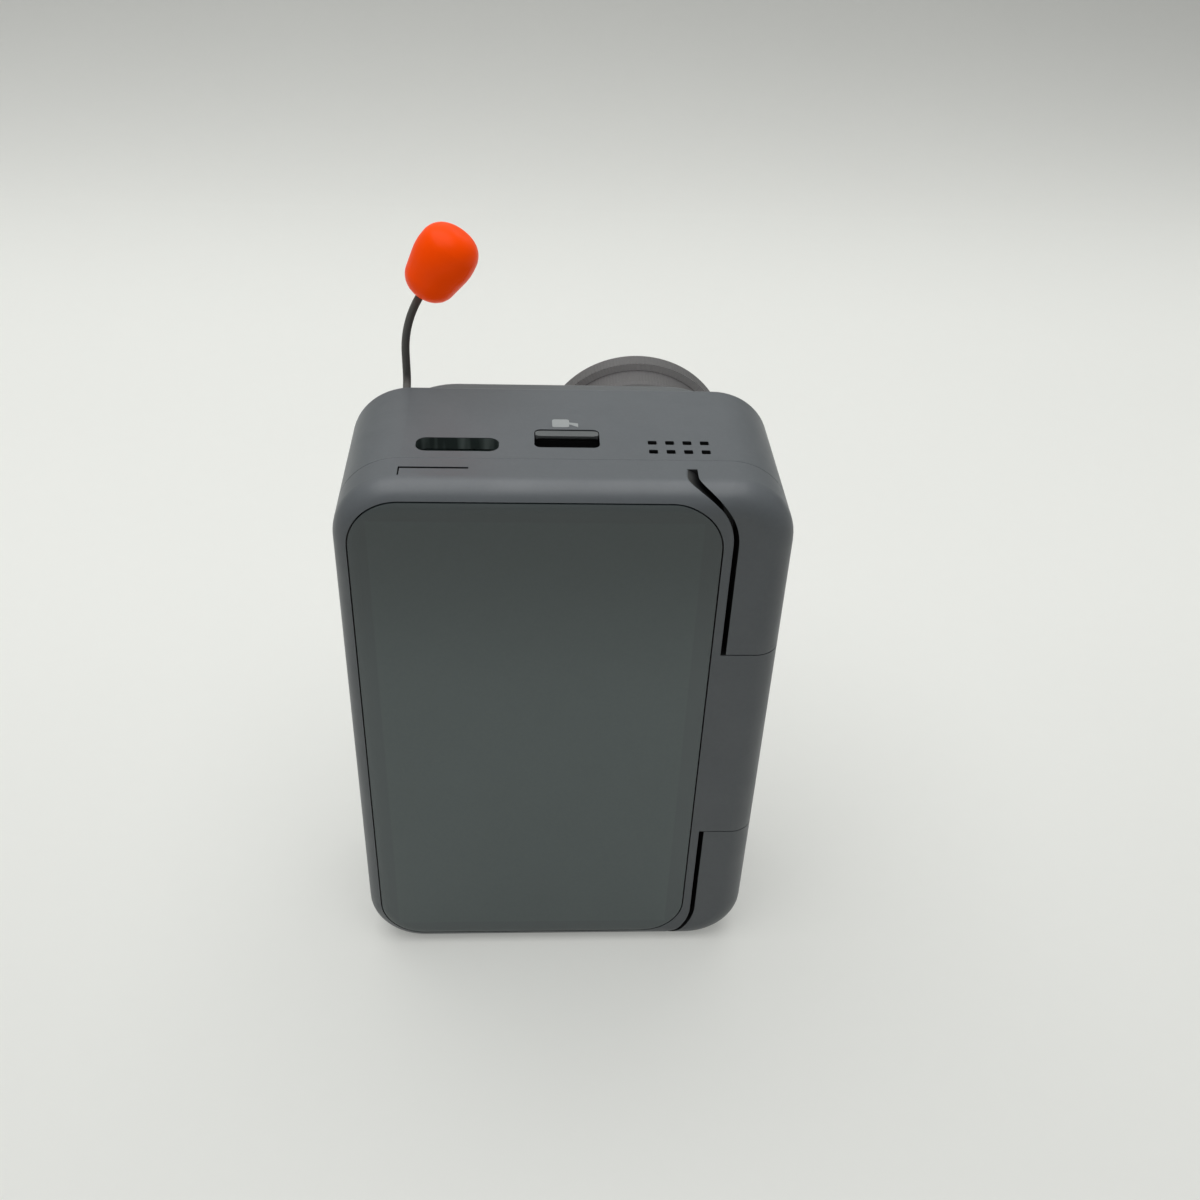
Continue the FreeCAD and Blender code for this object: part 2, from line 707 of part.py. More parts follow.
# Rear plate with the two hinge ears
def make_pod_rear_plate():
    body = new_body("pod_rear_plate")
    beyond = 2
    pad(body, "Block", "XZ", back, plate_front, pod_outline(0))
    dress(body, "BackRound", "Fillet", back_round, lies_at("Y", back))
    dress(body, "SeamEdge", "Chamfer", seam_chamfer, lies_at("Y", plate_front))
    ear_corner = screen_corner + ear_gap
    low = -(corner_lift + ear_tip_gap)
    room = [
        (left - beyond, low),
        (ear_left, low, ear_corner),
        (ear_left, shell_height - low, ear_corner),
        (left - beyond, shell_height - low),
    ]
    pocket(body, "ScreenRoom", "XZ", back, split, room)
    arm_room = box(screen_reach, right + beyond, back - beyond, split)
    pocket(body, "ArmNotch", "XY", barrel_low, barrel_high, arm_room)
    notch_radius = back_round + barrel_gap
    notch = [
        (hinge_x - notch_radius, back - beyond),
        (right + beyond, back - beyond),
        (right + beyond, hinge_y + notch_radius),
        (hinge_x - notch_radius, hinge_y + notch_radius, notch_radius - barrel_end_gap / 2),
    ]
    pocket(body, "BarrelNotch", "XY", barrel_low, barrel_high, notch)
    lip_in = wall + fit_gap
    lip = [pod_outline(lip_in), pod_outline(lip_in + lip_thickness)]
    pad(body, "Lip", "XZ", plate_front, plate_front + lip_height, *lip)
    hinge = disc(hinge_x, hinge_y, pin_radius)
    pocket(body, "LowPinBore", "XY", pin_low, barrel_low, hinge)
    pocket(body, "HighPinBore", "XY", barrel_high, pin_high, hinge)
    shanks = [disc(x, z, screw_radius + fit_gap) for x, z in boss_places()]
    heads = [disc(x, z, screw_head_radius + fit_gap) for x, z in boss_places()]
    pocket(body, "ScrewHoles", "XZ", split, plate_front, *shanks)
    pocket(body, "ScrewHeads", "XZ", split, split + screw_head_height + fit_gap, *heads)
    return keep(body)


def make_pod_screws():
    bodies = []
    head_back = split + fit_gap
    shoulder = head_back + screw_head_height
    tip = plate_front + screw_grip - fit_gap
    for i, (x, z) in enumerate(boss_places()):
        body = new_body(f"pod_screw_{i}")
        profile = [
            (head_back, 0),
            (tip, 0),
            (tip, screw_radius),
            (shoulder, screw_radius),
            (shoulder, screw_head_radius),
            (head_back + screw_head_edge, screw_head_radius),
            (head_back, screw_head_radius - screw_head_edge),
        ]
        turned(body, "Turned", "Revolution", "YZ", x, 0, z, "H_Axis", profile)
        bodies.append(body)
    return group("pod_screws", bodies)


# Hinge pin with the display wire through it, and the friction bushes in the barrel
def make_hinge():
    hinge = (hinge_x, hinge_y)
    slab("hinge_pin", "XY", pin_low, pin_high, disc(*hinge, pin_radius), disc(*hinge, pin_bore))
    slab("display_wire", "XY", pin_low, pin_high, disc(*hinge, wire_radius))
    inner = disc(*hinge, pin_radius + pin_running_gap)
    outer = disc(*hinge, bush_radius)
    low_start = barrel_low + barrel_end_gap
    high_end = barrel_high - barrel_end_gap
    bushes = []
    for i, start in enumerate((low_start, high_end - bush_length)):
        body = new_body(f"hinge_bush_{i}")
        pad(body, "Ring", "XY", start, start + bush_length, outer, inner)
        bushes.append(body)
    group("hinge_bushes", bushes)


def glass_outline(inset):
    """The cover glass seen from behind, moved inwards by inset."""
    x0 = left + glass_margin + inset
    x1 = screen_reach - glass_hinge_margin - inset
    z0 = glass_foot + inset
    z1 = shell_height - glass_margin - inset
    return box(x0, x1, z0, z1, glass_corner - inset)


def display_outline(inset):
    """The display and the frame's window round it."""
    border = display_border + inset
    x0 = left + glass_margin + border
    x1 = screen_reach - glass_hinge_margin - border
    z0 = glass_foot + border
    z1 = shell_height - glass_margin - border
    return box(x0, x1, z0, z1, glass_corner - display_border)


def cover_outline(inset):
    x0 = left + cover_margin + inset
    x1 = screen_reach - cover_margin / 2 - inset
    return box(x0, x1, cover_margin + inset, shell_height - cover_margin - inset, cover_corner - inset)


# Flip-up screen
def make_screen_frame():
    body = new_body("screen_frame")
    beyond = 3
    pad(body, "Block", "XZ", back, split, pod_outline(0))
    dress(body, "BackRound", "Fillet", back_round, lies_at("Y", back))
    beside = [
        (0, shell_height + beyond),
        (0, shell_height + corner_lift),
        (screen_reach, shell_height + corner_lift, screen_corner),
        (screen_reach, -corner_lift, screen_corner),
        (0, -corner_lift),
        (0, -beyond),
        (right + beyond, -beyond),
        (right + beyond, shell_height + beyond),
    ]
    pocket(body, "HingeSide", "XZ", back, split, beside)
    ear_corner = screen_corner + ear_gap
    ear_sweep = slant(hinge_x - ear_left, back_round) + swing_gap
    outside = ear_sweep + ear_corner + beyond
    under = -(corner_lift + ear_tip_gap)
    over = shell_height - under
    swept = [
        (0, under - beyond),
        (0, over + beyond),
        (-outside, over + beyond),
        (-outside, over),
        (-ear_sweep, over, ear_corner),
        (-ear_sweep, under, ear_corner),
        (-outside, under),
        (-outside, under - beyond),
    ]
    turned(body, "EarSweep", "Groove", "XZ", hinge_y, hinge_x, 0, "V_Axis", swept)
    low = barrel_low + barrel_end_gap
    high = barrel_high - barrel_end_gap
    arm = box(screen_reach - arm_overlap, hinge_x, back, split)
    pad(body, "BarrelArm", "XY", low, high, arm)
    pad(body, "Barrel", "XY", low, high, disc(hinge_x, hinge_y, back_round))
    glass_back = back + glass_thickness + tape_thickness
    cover_front = split - cover_thickness
    pocket(body, "GlassSeat", "XZ", back, glass_back, glass_outline(-glass_gap))
    pocket(body, "Window", "XZ", glass_back, cover_front, display_outline(-fit_gap))
    pocket(body, "CoverSeat", "XZ", cover_front, split, cover_outline(-fit_gap))
    hinge = (hinge_x, hinge_y)
    pocket(body, "PinBore", "XY", low, high, disc(*hinge, pin_radius + pin_running_gap * 2))
    bush = disc(*hinge, bush_radius)
    pocket(body, "LowBushSeat", "XY", low, low + bush_length, bush)
    pocket(body, "HighBushSeat", "XY", high - bush_length, high, bush)
    notch_left = left + nail_notch_start
    notch_back = split - nail_notch_width
    notch = box(notch_left, notch_left + nail_notch_length, notch_back, split)
    top = shell_height
    pocket(body, "NailNotch", "XY", top - nail_notch_depth, top, notch)
    turn = box(notch_left, notch_left + nail_notch_width / 2, notch_back - nail_notch_turn, notch_back)
    pocket(body, "NailNotchTurn", "XY", top - nail_notch_depth, top, turn)
    return keep(body)


def make_screen_glass():
    body = new_body("screen_glass")
    beyond = 3
    pad(body, "Block", "XZ", back, split, pod_outline(0))
    dress(body, "BackRound", "Fillet", back_round, lies_at("Y", back))
    behind = box(left - beyond, right + beyond, -beyond, shell_height + beyond)
    pocket(body, "Rear", "XZ", back + glass_thickness, split, behind)
    pocket(body, "Rim", "XZ", back, back + glass_thickness, behind, glass_outline(0))
    return keep(body)


def make_screen_inside():
    glass_inner = back + glass_thickness
    tape = [glass_outline(frame_ledge / 4), glass_outline(frame_ledge)]
    slab("glass_tape", "XZ", glass_inner, glass_inner + tape_thickness, *tape)
    panel_front = glass_inner + display_thickness
    slab("display_panel", "XZ", glass_inner, panel_front, display_outline(0))
    board_start = panel_front + tape_thickness
    board = display_outline(frame_ledge)
    slab("screen_board", "XZ", board_start, board_start + screen_board_thickness, board)
    slab("screen_back_cover", "XZ", split - cover_thickness, split, cover_outline(0))


# Camera shells
def make_camera_rear_shell():
    body = new_body("camera_rear_shell")
    pad(body, "Block", "XZ", camera_back, camera_seam, camera_outline(0))
    dress(body, "BackRound", "Fillet", camera_back_round, lies_at("Y", camera_back))
    pocket(body, "Cavity", "XZ", camera_back + camera_wall, camera_seam, camera_outline(camera_wall))
    pads = [contact_pad_outline(x) for x in contact_places()]
    pocket(body, "ContactSeats", "XZ", camera_back, camera_back + contact_pad_thickness, *pads)
    magnets = [disc(x, z, bay_magnet_radius + fit_gap / 2) for x, z in magnet_places()]
    magnet_back = camera_back + camera_wall - magnet_depth
    pocket(body, "MagnetSeats", "XZ", magnet_back, camera_back + camera_wall, *magnets)
    nose_room = box(
        release_x - nose_width / 2 - button_gap * 2,
        release_x + nose_width / 2 + button_gap * 2,
        nose_low - release_travel - button_gap * 2,
        nose_low + nose_height + button_gap * 2,
    )
    nose_depth = camera_back + nose_recess
    pocket(body, "NoseRecess", "XZ", camera_back, nose_depth, nose_room)
    return keep(body)


def make_camera_front_shell():
    body = new_body("camera_front_shell")
    pad(body, "Block", "XZ", camera_seam, camera_front, camera_outline(0))
    dress(body, "FrontRound", "Fillet", camera_front_round, lies_at("Y", camera_front))
    pocket(body, "Cavity", "XZ", camera_seam, camera_front - camera_wall, camera_outline(camera_wall))
    turret_front = camera_front + turret_height
    pad(body, "Turret", "XZ", camera_front - camera_wall, turret_front, disc(lens_x, lens_z, turret_radius))
    bore = disc(lens_x, lens_z, lens_tube_radius + fit_gap / 2)
    pocket(body, "LensBore", "XZ", camera_front - camera_wall, turret_front, bore)
    dress(body, "TurretEdge", "Chamfer", turret_chamfer, lies_at("Y", turret_front))
    button = disc(-camera_button_x, camera_button_z, camera_button_radius + button_gap)
    pocket(body, "ButtonHole", "XZ", camera_front - camera_wall, camera_front, button)
    light = disc(-camera_button_x, light_z, light_radius + fit_gap / 2)
    pocket(body, "LightHole", "XZ", camera_front - camera_wall, camera_front, light)
    return keep(body)


# Lens tube, its glass and the sensor behind it
def make_lens():
    rear = camera_back + camera_wall + fit_gap + camera_board_thickness
    sensor_back = rear + sensor_stack
    tube_rear = sensor_back + board_thickness
    tube_front = camera_front + lens_reach
    inner_wall = camera_front - camera_wall
    tube = new_body("lens_barrel")
    seat_rear = tube_front - front_element_thickness
    profile = [
        (tube_rear, lens_tube_bore),
        (tube_rear, lens_tube_radius),
        (inner_wall - fit_gap - button_flange, lens_tube_radius),
        (inner_wall - fit_gap - button_flange, lens_flange),
        (inner_wall - fit_gap, lens_flange),
        (inner_wall - fit_gap, lens_tube_radius),
        (tube_front, lens_tube_radius),
    ]
    for step in range(3):
        radius = element_seat + baffle_step_width * (3 - step)
        profile.append((tube_front - baffle_step_height * step, radius))
        profile.append((tube_front - baffle_step_height * (step + 1), radius))
    profile.append((tube_front - baffle_step_height * 3, element_seat))
    profile.append((seat_rear, element_seat))
    profile.append((seat_rear, lens_tube_bore))
    turned(tube, "Turned", "Revolution", "YZ", lens_x, 0, lens_z, "H_Axis", profile)
    keep(tube)

    element_rear = tube_front - front_element_thickness
    body = doc.addObject("Part::Cylinder", "FrontElementDisc")
    body.setExpression("Radius", text_of(front_element_radius))
    body.setExpression("Height", text_of(front_element_thickness))
    body.Placement = FreeCAD.Placement(Vec(), FreeCAD.Rotation(Vec(1, 0, 0), -90))
    ball = doc.addObject("Part::Sphere", "FrontElementCurve")
    ball.setExpression("Radius", text_of(front_element_curve))
    for thing, y in (
        (body, element_rear),
        (ball, tube_front - front_element_inset - front_element_curve),
    ):
        thing.setExpression("Placement.Base.x", text_of(lens_x))
        thing.setExpression("Placement.Base.y", text_of(y))
        thing.setExpression("Placement.Base.z", text_of(lens_z))
    dome = doc.addObject("Part::MultiCommon", "front_lens_element")
    dome.Shapes = [body, ball]
    keep(dome, "front_lens_element")

    elements = []
    for i in (1, 2):
        front_face = element_rear - inner_element_pitch * i + inner_element_thickness
        element = new_body(f"inner_element_{i}")
        rim = disc(lens_x, lens_z, lens_tube_bore - fit_gap / 2)
        pad(element, "Disc", "XZ", front_face - inner_element_thickness, front_face, rim)
        elements.append(element)
    group("inner_lens_elements", elements)

    half = sensor_board_size / 2
    board = box(lens_x - half, lens_x + half, lens_z - half, lens_z + half, board_corner)
    slab("sensor_board", "XZ", sensor_back, tube_rear, board)
    half_width = sensor_width / 2
    half_height = sensor_height / 2
    chip = box(lens_x - half_width, lens_x + half_width, lens_z - half_height, lens_z + half_height)
    slab("image_sensor", "XZ", tube_rear, tube_rear + sensor_thickness, chip)


def make_camera_inside():
    board_start = camera_back + camera_wall + fit_gap
    board_end = board_start + camera_board_thickness
    slab("camera_board", "XZ", board_start, board_end, camera_outline(camera_wall * 2))
    battery_start = board_end + cell_gap
    battery_right = lens_x - lens_flange - lens_clearance
    battery_left = camera_left + camera_wall + cell_gap * 2
    battery_foot = camera_foot + camera_cell_margin
    battery_top = camera_top - camera_cell_margin
    cell = box(battery_left, battery_right, battery_foot, battery_top, cell_corner)
    slab("camera_battery", "XZ", battery_start, battery_start + camera_battery_thickness, cell)
    half_width = stack_width / 2
    half_height = stack_height / 2
    stack = box(lens_x - half_width, lens_x + half_width, lens_z - half_height, lens_z + half_height)
    slab("sensor_connector", "XZ", board_end, board_end + sensor_stack, stack)
    magnet_start = camera_back + camera_wall - magnet_depth
    magnets = []
    for i, (x, z) in enumerate(magnet_places()):
        body = new_body(f"camera_magnet_{i}")
        pad(body, "Disc", "XZ", magnet_start, magnet_start + magnet_depth, disc(x, z, bay_magnet_radius))
        magnets.append(body)
    group("camera_magnets", magnets)
    pads = []
    for i, x in enumerate(contact_places()):
        body = new_body(f"contact_pad_{i}")
        pad(body, "Pad", "XZ", camera_back, camera_back + contact_pad_thickness, contact_pad_outline(x))
        pads.append(body)
    group("camera_contacts", pads)
    light = disc(-camera_button_x, light_z, light_radius)
    light_rear = camera_front - camera_wall - light_tail
    slab("status_light", "XZ", light_rear, camera_front - fit_gap / 2, light)
    inner = camera_front - camera_wall
    button = new_body("camera_button")
    centre = (-camera_button_x, camera_button_z)
    flange_rear = inner - fit_gap - button_flange
    flange = disc(*centre, camera_button_radius + flange_overlap)
    pad(button, "Flange", "XZ", flange_rear, inner - fit_gap, flange)
    crown = camera_front + camera_button_rise
    pad(button, "Cap", "XZ", inner - fit_gap, crown, disc(*centre, camera_button_radius))
    dress(button, "CapEdge", "Chamfer", camera_button_rise * cap_edge_share, lies_at("Y", crown))
    keep(button)
    dome_front = flange_rear - button_travel - fit_gap
    dome_rear = battery_start + camera_battery_thickness
    slab("camera_switch", "XZ", dome_rear, dome_front, disc(*centre, dome_radius))


# Lens guard that twists off the lens tube
def make_lens_guard():
    ring = new_body("lens_guard_ring")
    rear = camera_front + turret_height + guard_rear_gap
    flange_rear = guard_front - guard_flange_width
    bore = lens_tube_radius + guard_running_gap
    seat = guard_glass_radius + fit_gap / 2
    seat_rear = camera_front + lens_reach + guard_rear_gap
    lip_rear = guard_front - guard_lip
    profile = [
        (rear, bore),
        (rear, guard_grip_radius - guard_edge),
        (rear + guard_edge, guard_grip_radius),
        (flange_rear, guard_grip_radius),
        (flange_rear, guard_radius),
        (guard_front - guard_edge, guard_radius),
        (guard_front, guard_radius - guard_edge),
        (guard_front, guard_lip_radius),
        (lip_rear, guard_lip_radius),
        (lip_rear, seat),
        (seat_rear, seat),
        (seat_rear, bore),
    ]
    turned(ring, "Turned", "Revolution", "YZ", lens_x, 0, lens_z, "H_Axis", profile)
    keep(ring)
    glass = disc(lens_x, lens_z, guard_glass_radius)
    slab("lens_guard_glass", "XZ", lip_rear - guard_glass_thickness, lip_rear, glass)


# Port, speaker, boards and cells in the pod
def make_pod_inside():
    mouth = shell_height - wall - fit_gap * 2
    floor = mouth - port_depth
    half_width = port_width / 2 + port_shell
    half_height = port_height / 2 + port_shell
    outer_round = half_height * pill_share
    low = -(port_y + half_height)
    outer = box(-(port_x + half_width), half_width - port_x, low, half_height - port_y, outer_round)
    inner_x = port_width / 2
    inner_y = port_height / 2
    low = -(port_y + inner_y)
    inner = box(-(port_x + inner_x), inner_x - port_x, low, inner_y - port_y, inner_y * pill_share)
    shell = new_body("usb_receptacle")
    pad(shell, "Shell", "XY", floor, mouth, outer)
    pocket(shell, "Mouth", "XY", floor + port_shell * 2, mouth, inner)
    keep(shell)
    half_tongue = tongue_width / 2
    half_thick = tongue_thickness / 2
    tongue = box(-(port_x + half_tongue), half_tongue - port_x, -(port_y + half_thick), half_thick - port_y)
    slab("usb_tongue", "XY", floor + port_shell * 2, mouth - tongue_setback, tongue)

    half = speaker_width / 2
    low = -(speaker_y + speaker_thickness / 2)
    capsule = box(speaker_x - half, speaker_x + half, low, low + speaker_thickness, speaker_corner)
    slab("speaker", "XY", speaker_top - speaker_height, speaker_top, capsule)

    board_top = nose_low - release_travel - latch_clearance
    board_foot = boss_inset * 2 - boss_radius
    board = box(left + board_margin, right - board_margin, board_foot, board_top, board_corner)
    slab("main_board", "XZ", board_back, floor_inside, board)
    cell_front = board_back - cell_gap
    cell_back = plate_front + lip_height + fit_gap
    cell_left = left + cell_margin
    cell_right = right - cell_margin
    cell = box(cell_left, cell_right, boss_inset * 2, board_top, cell_corner)
    slab("pod_battery", "XZ", cell_back, cell_front, cell)

    block = new_body("bay_contact_block")
    half_width = contact_block_width / 2
    half_height = contact_block_height / 2
    plate = box(-half_width, half_width, contact_z - half_height, contact_z + half_height)
    holes = [disc(x, contact_z, contact_radius) for x in contact_places()]
    pad(block, "Block", "XZ", floor_inside, bay_floor, plate, *holes)
    keep(block)
    pins = []
    for i, x in enumerate(contact_places()):
        body = new_body(f"contact_pin_{i}")
        pad(body, "Pin", "XZ", floor_inside, bay_floor + seat_gap / 2, disc(x, contact_z, contact_radius))
        pins.append(body)
    group("bay_contact_pins", pins)
    magnets = []
    for i, (x, z) in enumerate(magnet_places()):
        body = new_body(f"bay_magnet_{i}")
        pad(body, "Disc", "XZ", floor_inside, bay_floor - fit_gap / 2, disc(x, z, bay_magnet_radius))
        magnets.append(body)
    group("bay_magnets", magnets)

    half = microphone_size / 2
    low = -(microphone_back + half)
    capsule = box(low, half - microphone_back, microphone_z - half, microphone_z + half)
    microphone_end = right - wall - fit_gap / 2
    slab("microphone", "YZ", microphone_end - microphone_thickness, microphone_end, capsule)


# Quick-release side: magnets and strike plates behind the two latch slots
def make_mount_side():
    start = left + wall + fit_gap
    magnets = []
    plates = []
    for i, side in enumerate((-0.5, 0.5)):
        z = shell_height / 2 + mount_magnet_spacing * side
        magnet = new_body(f"mount_magnet_{i}")
        outline = disc(-mount_y, z, mount_magnet_radius)
        pad(magnet, "Disc", "YZ", start - fit_gap / 2, start + magnet_thickness, outline)
        magnets.append(magnet)
        z = shell_height / 2 + mount_slot_spacing * side
        plate = new_body(f"strike_plate_{i}")
        half_slot = mount_slot_length / 2 + strike_overlap
        half_width = mount_slot_width / 2 + strike_overlap
        low = -(mount_y + half_width)
        outline = box(low, half_width - mount_y, z - half_slot, z + half_slot, strike_corner)
        pad(plate, "Plate", "YZ", start - fit_gap / 2, start + strike_thickness, outline)
        plates.append(plate)
    group("mount_magnets", magnets)
    group("mount_strike_plates", plates)


# Buttons and the switches behind them
def make_release_button():
    button = new_body("release_button")
    x0 = release_x - release_width / 2
    x1 = release_x + release_width / 2
    low_face = -release_back
    far_face = release_length - release_back
    beyond = 1
    foot = shell_height - wall - release_foot_gap
    ledge = foot + release_lip
    flush = shell_height - fit_gap
    crown = shell_height + release_rise
    lip_face = low_face + release_well
    pad(button, "Ledge", "XY", foot, ledge, box(x0, x1, low_face, far_face, release_corner))
    pad(button, "Cap", "XY", ledge, crown, box(x0, x1, lip_face, far_face, release_corner))
    ramp = [
        (lip_face - beyond, crown),
        (lip_face, crown),
        (far_face, flush),
        (far_face + beyond, flush),
        (far_face + beyond, crown + beyond),
        (lip_face - beyond, crown + beyond),
    ]
    pocket(button, "Ramp", "YZ", x0 - beyond, x1 + beyond, ramp)
    under = crown - release_lip
    inner_face = lip_face + release_undercut
    undercut = [
        (lip_face - beyond, ledge),
        (inner_face, ledge),
        (inner_face, under - release_undercut),
        (lip_face, under),
        (lip_face - beyond, under),
    ]
    pocket(button, "Undercut", "YZ", x0 - beyond, x1 + beyond, undercut)
    stem_front = floor_inside - button_gap
    stem_back = stem_front - latch_thickness
    half = latch_width / 2
    stem = box(release_x - half, release_x + half, nose_low, foot)
    stem_join = box(release_x - half, release_x + half, low_face + release_length / 2, stem_front)
    pad(button, "StemJoin", "XY", foot - latch_thickness, foot, stem_join)
    pad(button, "Stem", "XZ", stem_back, stem_front, stem)
    keep(button)
    nose = new_body("latch_nose")
    half = nose_width / 2
    profile = [
        (stem_front, nose_low),
        (camera_back + nose_recess - seat_gap, nose_low),
        (camera_back + nose_recess - seat_gap, nose_low + nose_face),
        (bay_floor, nose_low + nose_height),
        (stem_front, nose_low + nose_height),
    ]
    pad(nose, "Nose", "YZ", release_x - half, release_x + half, profile)
    keep(nose)


def make_shutter_button():
    body = new_body("shutter_button")
    inner = right - wall - fit_gap
    crown = right + shutter_rise
    centre = (shutter_y, shutter_z)
    flange = disc(*centre, shutter_radius + flange_overlap)
    pad(body, "Flange", "YZ", inner - button_flange, inner, flange)
    pad(body, "Cap", "YZ", inner, crown, disc(*centre, shutter_radius))
    dress(body, "CapEdge", "Chamfer", shutter_rise * cap_edge_share, lies_at("X", crown))
    keep(body)
    switch_face = inner - button_flange - button_travel - fit_gap
    switch_back = switch_face - switch_height
    half = switch_size / 2
    body_outline = box(shutter_y - half, shutter_y + half, shutter_z - half, shutter_z + half)
    slab("shutter_switch", "YZ", switch_back, switch_face, body_outline)
    board_foot = boss_inset + boss_radius + boss_clearance
    board_head = camera_foot - bay_gap - wall * 2
    board = box(floor_inside + fit_gap, front - wall - fit_gap, board_foot, board_head)
    slab("side_switch_board", "YZ", switch_back - board_thickness, switch_back, board)


def make_base_buttons():
    inner = wall + fit_gap
    half_length = base_button_length / 2
    half_width = base_button_width / 2
    low = base_button_y - half_width
    high = base_button_y + half_width
    wide_low = low - flange_overlap
    wide_high = high + flange_overlap
    corner = half_width * pill_share
    wide = (half_width + flange_overlap) * pill_share
    switch_face = inner + button_flange + button_travel + fit_gap
    switch_back = switch_face + switch_height
    switches = []
    for label, x in (("power_button", -power_x), ("quick_button", quick_x)):
        x0 = x - half_length
        x1 = x + half_length
        body = new_body(label)
        cap = box(x0, x1, low, high, corner)
        pad(body, "Cap", "XY", base_button_recess, inner, cap)
        flange = box(x0 - flange_overlap, x1 + flange_overlap, wide_low, wide_high, wide)
        pad(body, "Flange", "XY", inner, inner + button_flange, flange)
        edge = base_button_recess * cap_edge_share
        dress(body, "CapEdge", "Chamfer", edge, lies_at("Z", base_button_recess))
        keep(body)
        switch = new_body(label + "_switch")
        half = switch_size / 2
        outline = box(x - half, x + half, base_button_y - half, base_button_y + half)
        pad(switch, "Block", "XY", switch_face, switch_back, outline)
        switches.append(switch)
    group("base_switches", switches)
    half = base_button_width / 2 + board_overlap
    edge = base_button_length / 2 + board_overlap
    board = box(-(power_x + edge), quick_x + edge, base_button_y - half, base_button_y + half)
    slab("base_switch_board", "XY", switch_back, switch_back + board_thickness, board)


# Tether: ferrule, sprung stalk and bead
def make_tether():
    ferrule = new_body("tether_ferrule")
    start = front - ferrule_seat
    end = front + ferrule_proud
    centre = (-ferrule_x, ferrule_z)
    pad(ferrule, "Sleeve", "XZ", start, end, disc(*centre, ferrule_radius), disc(*centre, stalk_radius))
    keep(ferrule)

    x = -value_of(ferrule_x)
    elbow = value_of(stalk_elbow)
    y = value_of(front) + value_of(stalk_plane)
    z = value_of(ferrule_z)
    radius = value_of(stalk_bend)
    tilt = math.radians(value_of(bead_tilt))
    quarter = math.sqrt(0.5)
    a = Vec(x, value_of(start), z)
    b = Vec(x, y - elbow, z)
    b_mid = Vec(x, y - elbow + elbow * quarter, z + elbow * (1 - quarter))
    c = Vec(x, y, z + elbow)
    d = Vec(x, y, z + elbow + value_of(stalk_straight))

    def along(angle):
        return Vec(d.x + radius * (1 - math.cos(angle)), y, d.z + radius * math.sin(angle))

    entry = along(tilt)
    heading = Vec(math.sin(tilt), 0, math.cos(tilt))
    socket_end = entry + heading * value_of(bead_socket)
    route = Part.Wire([
        Part.LineSegment(a, b).toShape(),
        Part.Arc(b, b_mid, c).toShape(),
        Part.LineSegment(c, d).toShape(),
        Part.Arc(d, along(tilt / 2), entry).toShape(),
        Part.LineSegment(entry, socket_end).toShape(),
    ])
    section = Part.Wire([Part.Circle(a, Vec(0, 1, 0), value_of(stalk_radius)).toShape()])
    stalk = doc.addObject("Part::Feature", "tether_stalk")
    stalk.Shape = route.makePipeShell([section], True, False)
    keep(stalk, "tether_stalk")
    expected = math.pi * value_of(stalk_radius) ** 2 * route.Length
    print("stalk length", round(route.Length, 2), "volume ratio", round(stalk.Shape.Volume / expected, 4))

    bead = new_body("tether_bead")
    rise = bead_length
    profile = [
        (stalk_radius, 0),
        (bead_foot_radius, 0, bead_end_round),
        (bead_radius, bead_waist, bead_waist_round),
        (bead_cap_radius, rise, bead_end_round),
        (0, rise),
        (0, bead_socket),
        (stalk_radius, bead_socket),
    ]
    turned(bead, "Turned", "Revolution", "XZ", 0, 0, 0, "V_Axis", profile)
    bead.Placement = FreeCAD.Placement(entry, FreeCAD.Rotation(Vec(0, 1, 0), value_of(bead_tilt)))
    keep(bead)


def check_and_write():
    """Checks every object, then writes one file for each sub-part."""
    doc.recompute()
    for thing in doc.Objects:
        if "Invalid" in thing.State or "Error" in thing.State:
            raise RuntimeError(f"{thing.Name} ({thing.Label}) has failed")
        if thing.TypeId in ("PartDesign::Pocket", "PartDesign::Groove"):
            before = thing.BaseFeature.Shape.Volume
            if before - thing.Shape.Volume < 1e-4:
                raise RuntimeError(f"{thing.Name} in {thing.getParentGeoFeatureGroup().Label} cuts nothing")
    os.makedirs("parts", exist_ok=True)
    for thing in nodes:
        shape = thing.Shape
        if shape.isNull() or not shape.isValid():
            raise RuntimeError(f"{thing.Label} has no valid shape")
        shape.exportStep(os.path.join("parts", thing.Label + ".step"))
        print(thing.Label, len(shape.Solids), round(shape.Volume, 2))


make_pod_housing()
make_pod_rear_plate()
make_pod_screws()
make_hinge()
make_screen_frame()
make_screen_glass()
make_screen_inside()
make_camera_rear_shell()
make_camera_front_shell()
make_lens()
make_camera_inside()
make_lens_guard()
make_pod_inside()
make_mount_side()
make_release_button()
make_shutter_button()
make_base_buttons()
make_tether()
check_and_write()
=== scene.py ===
import logging
import math
from collections.abc import Callable, Iterable
from dataclasses import dataclass, field, replace
from enum import Enum

import bmesh
import bpy
from mathutils import Matrix, Vector


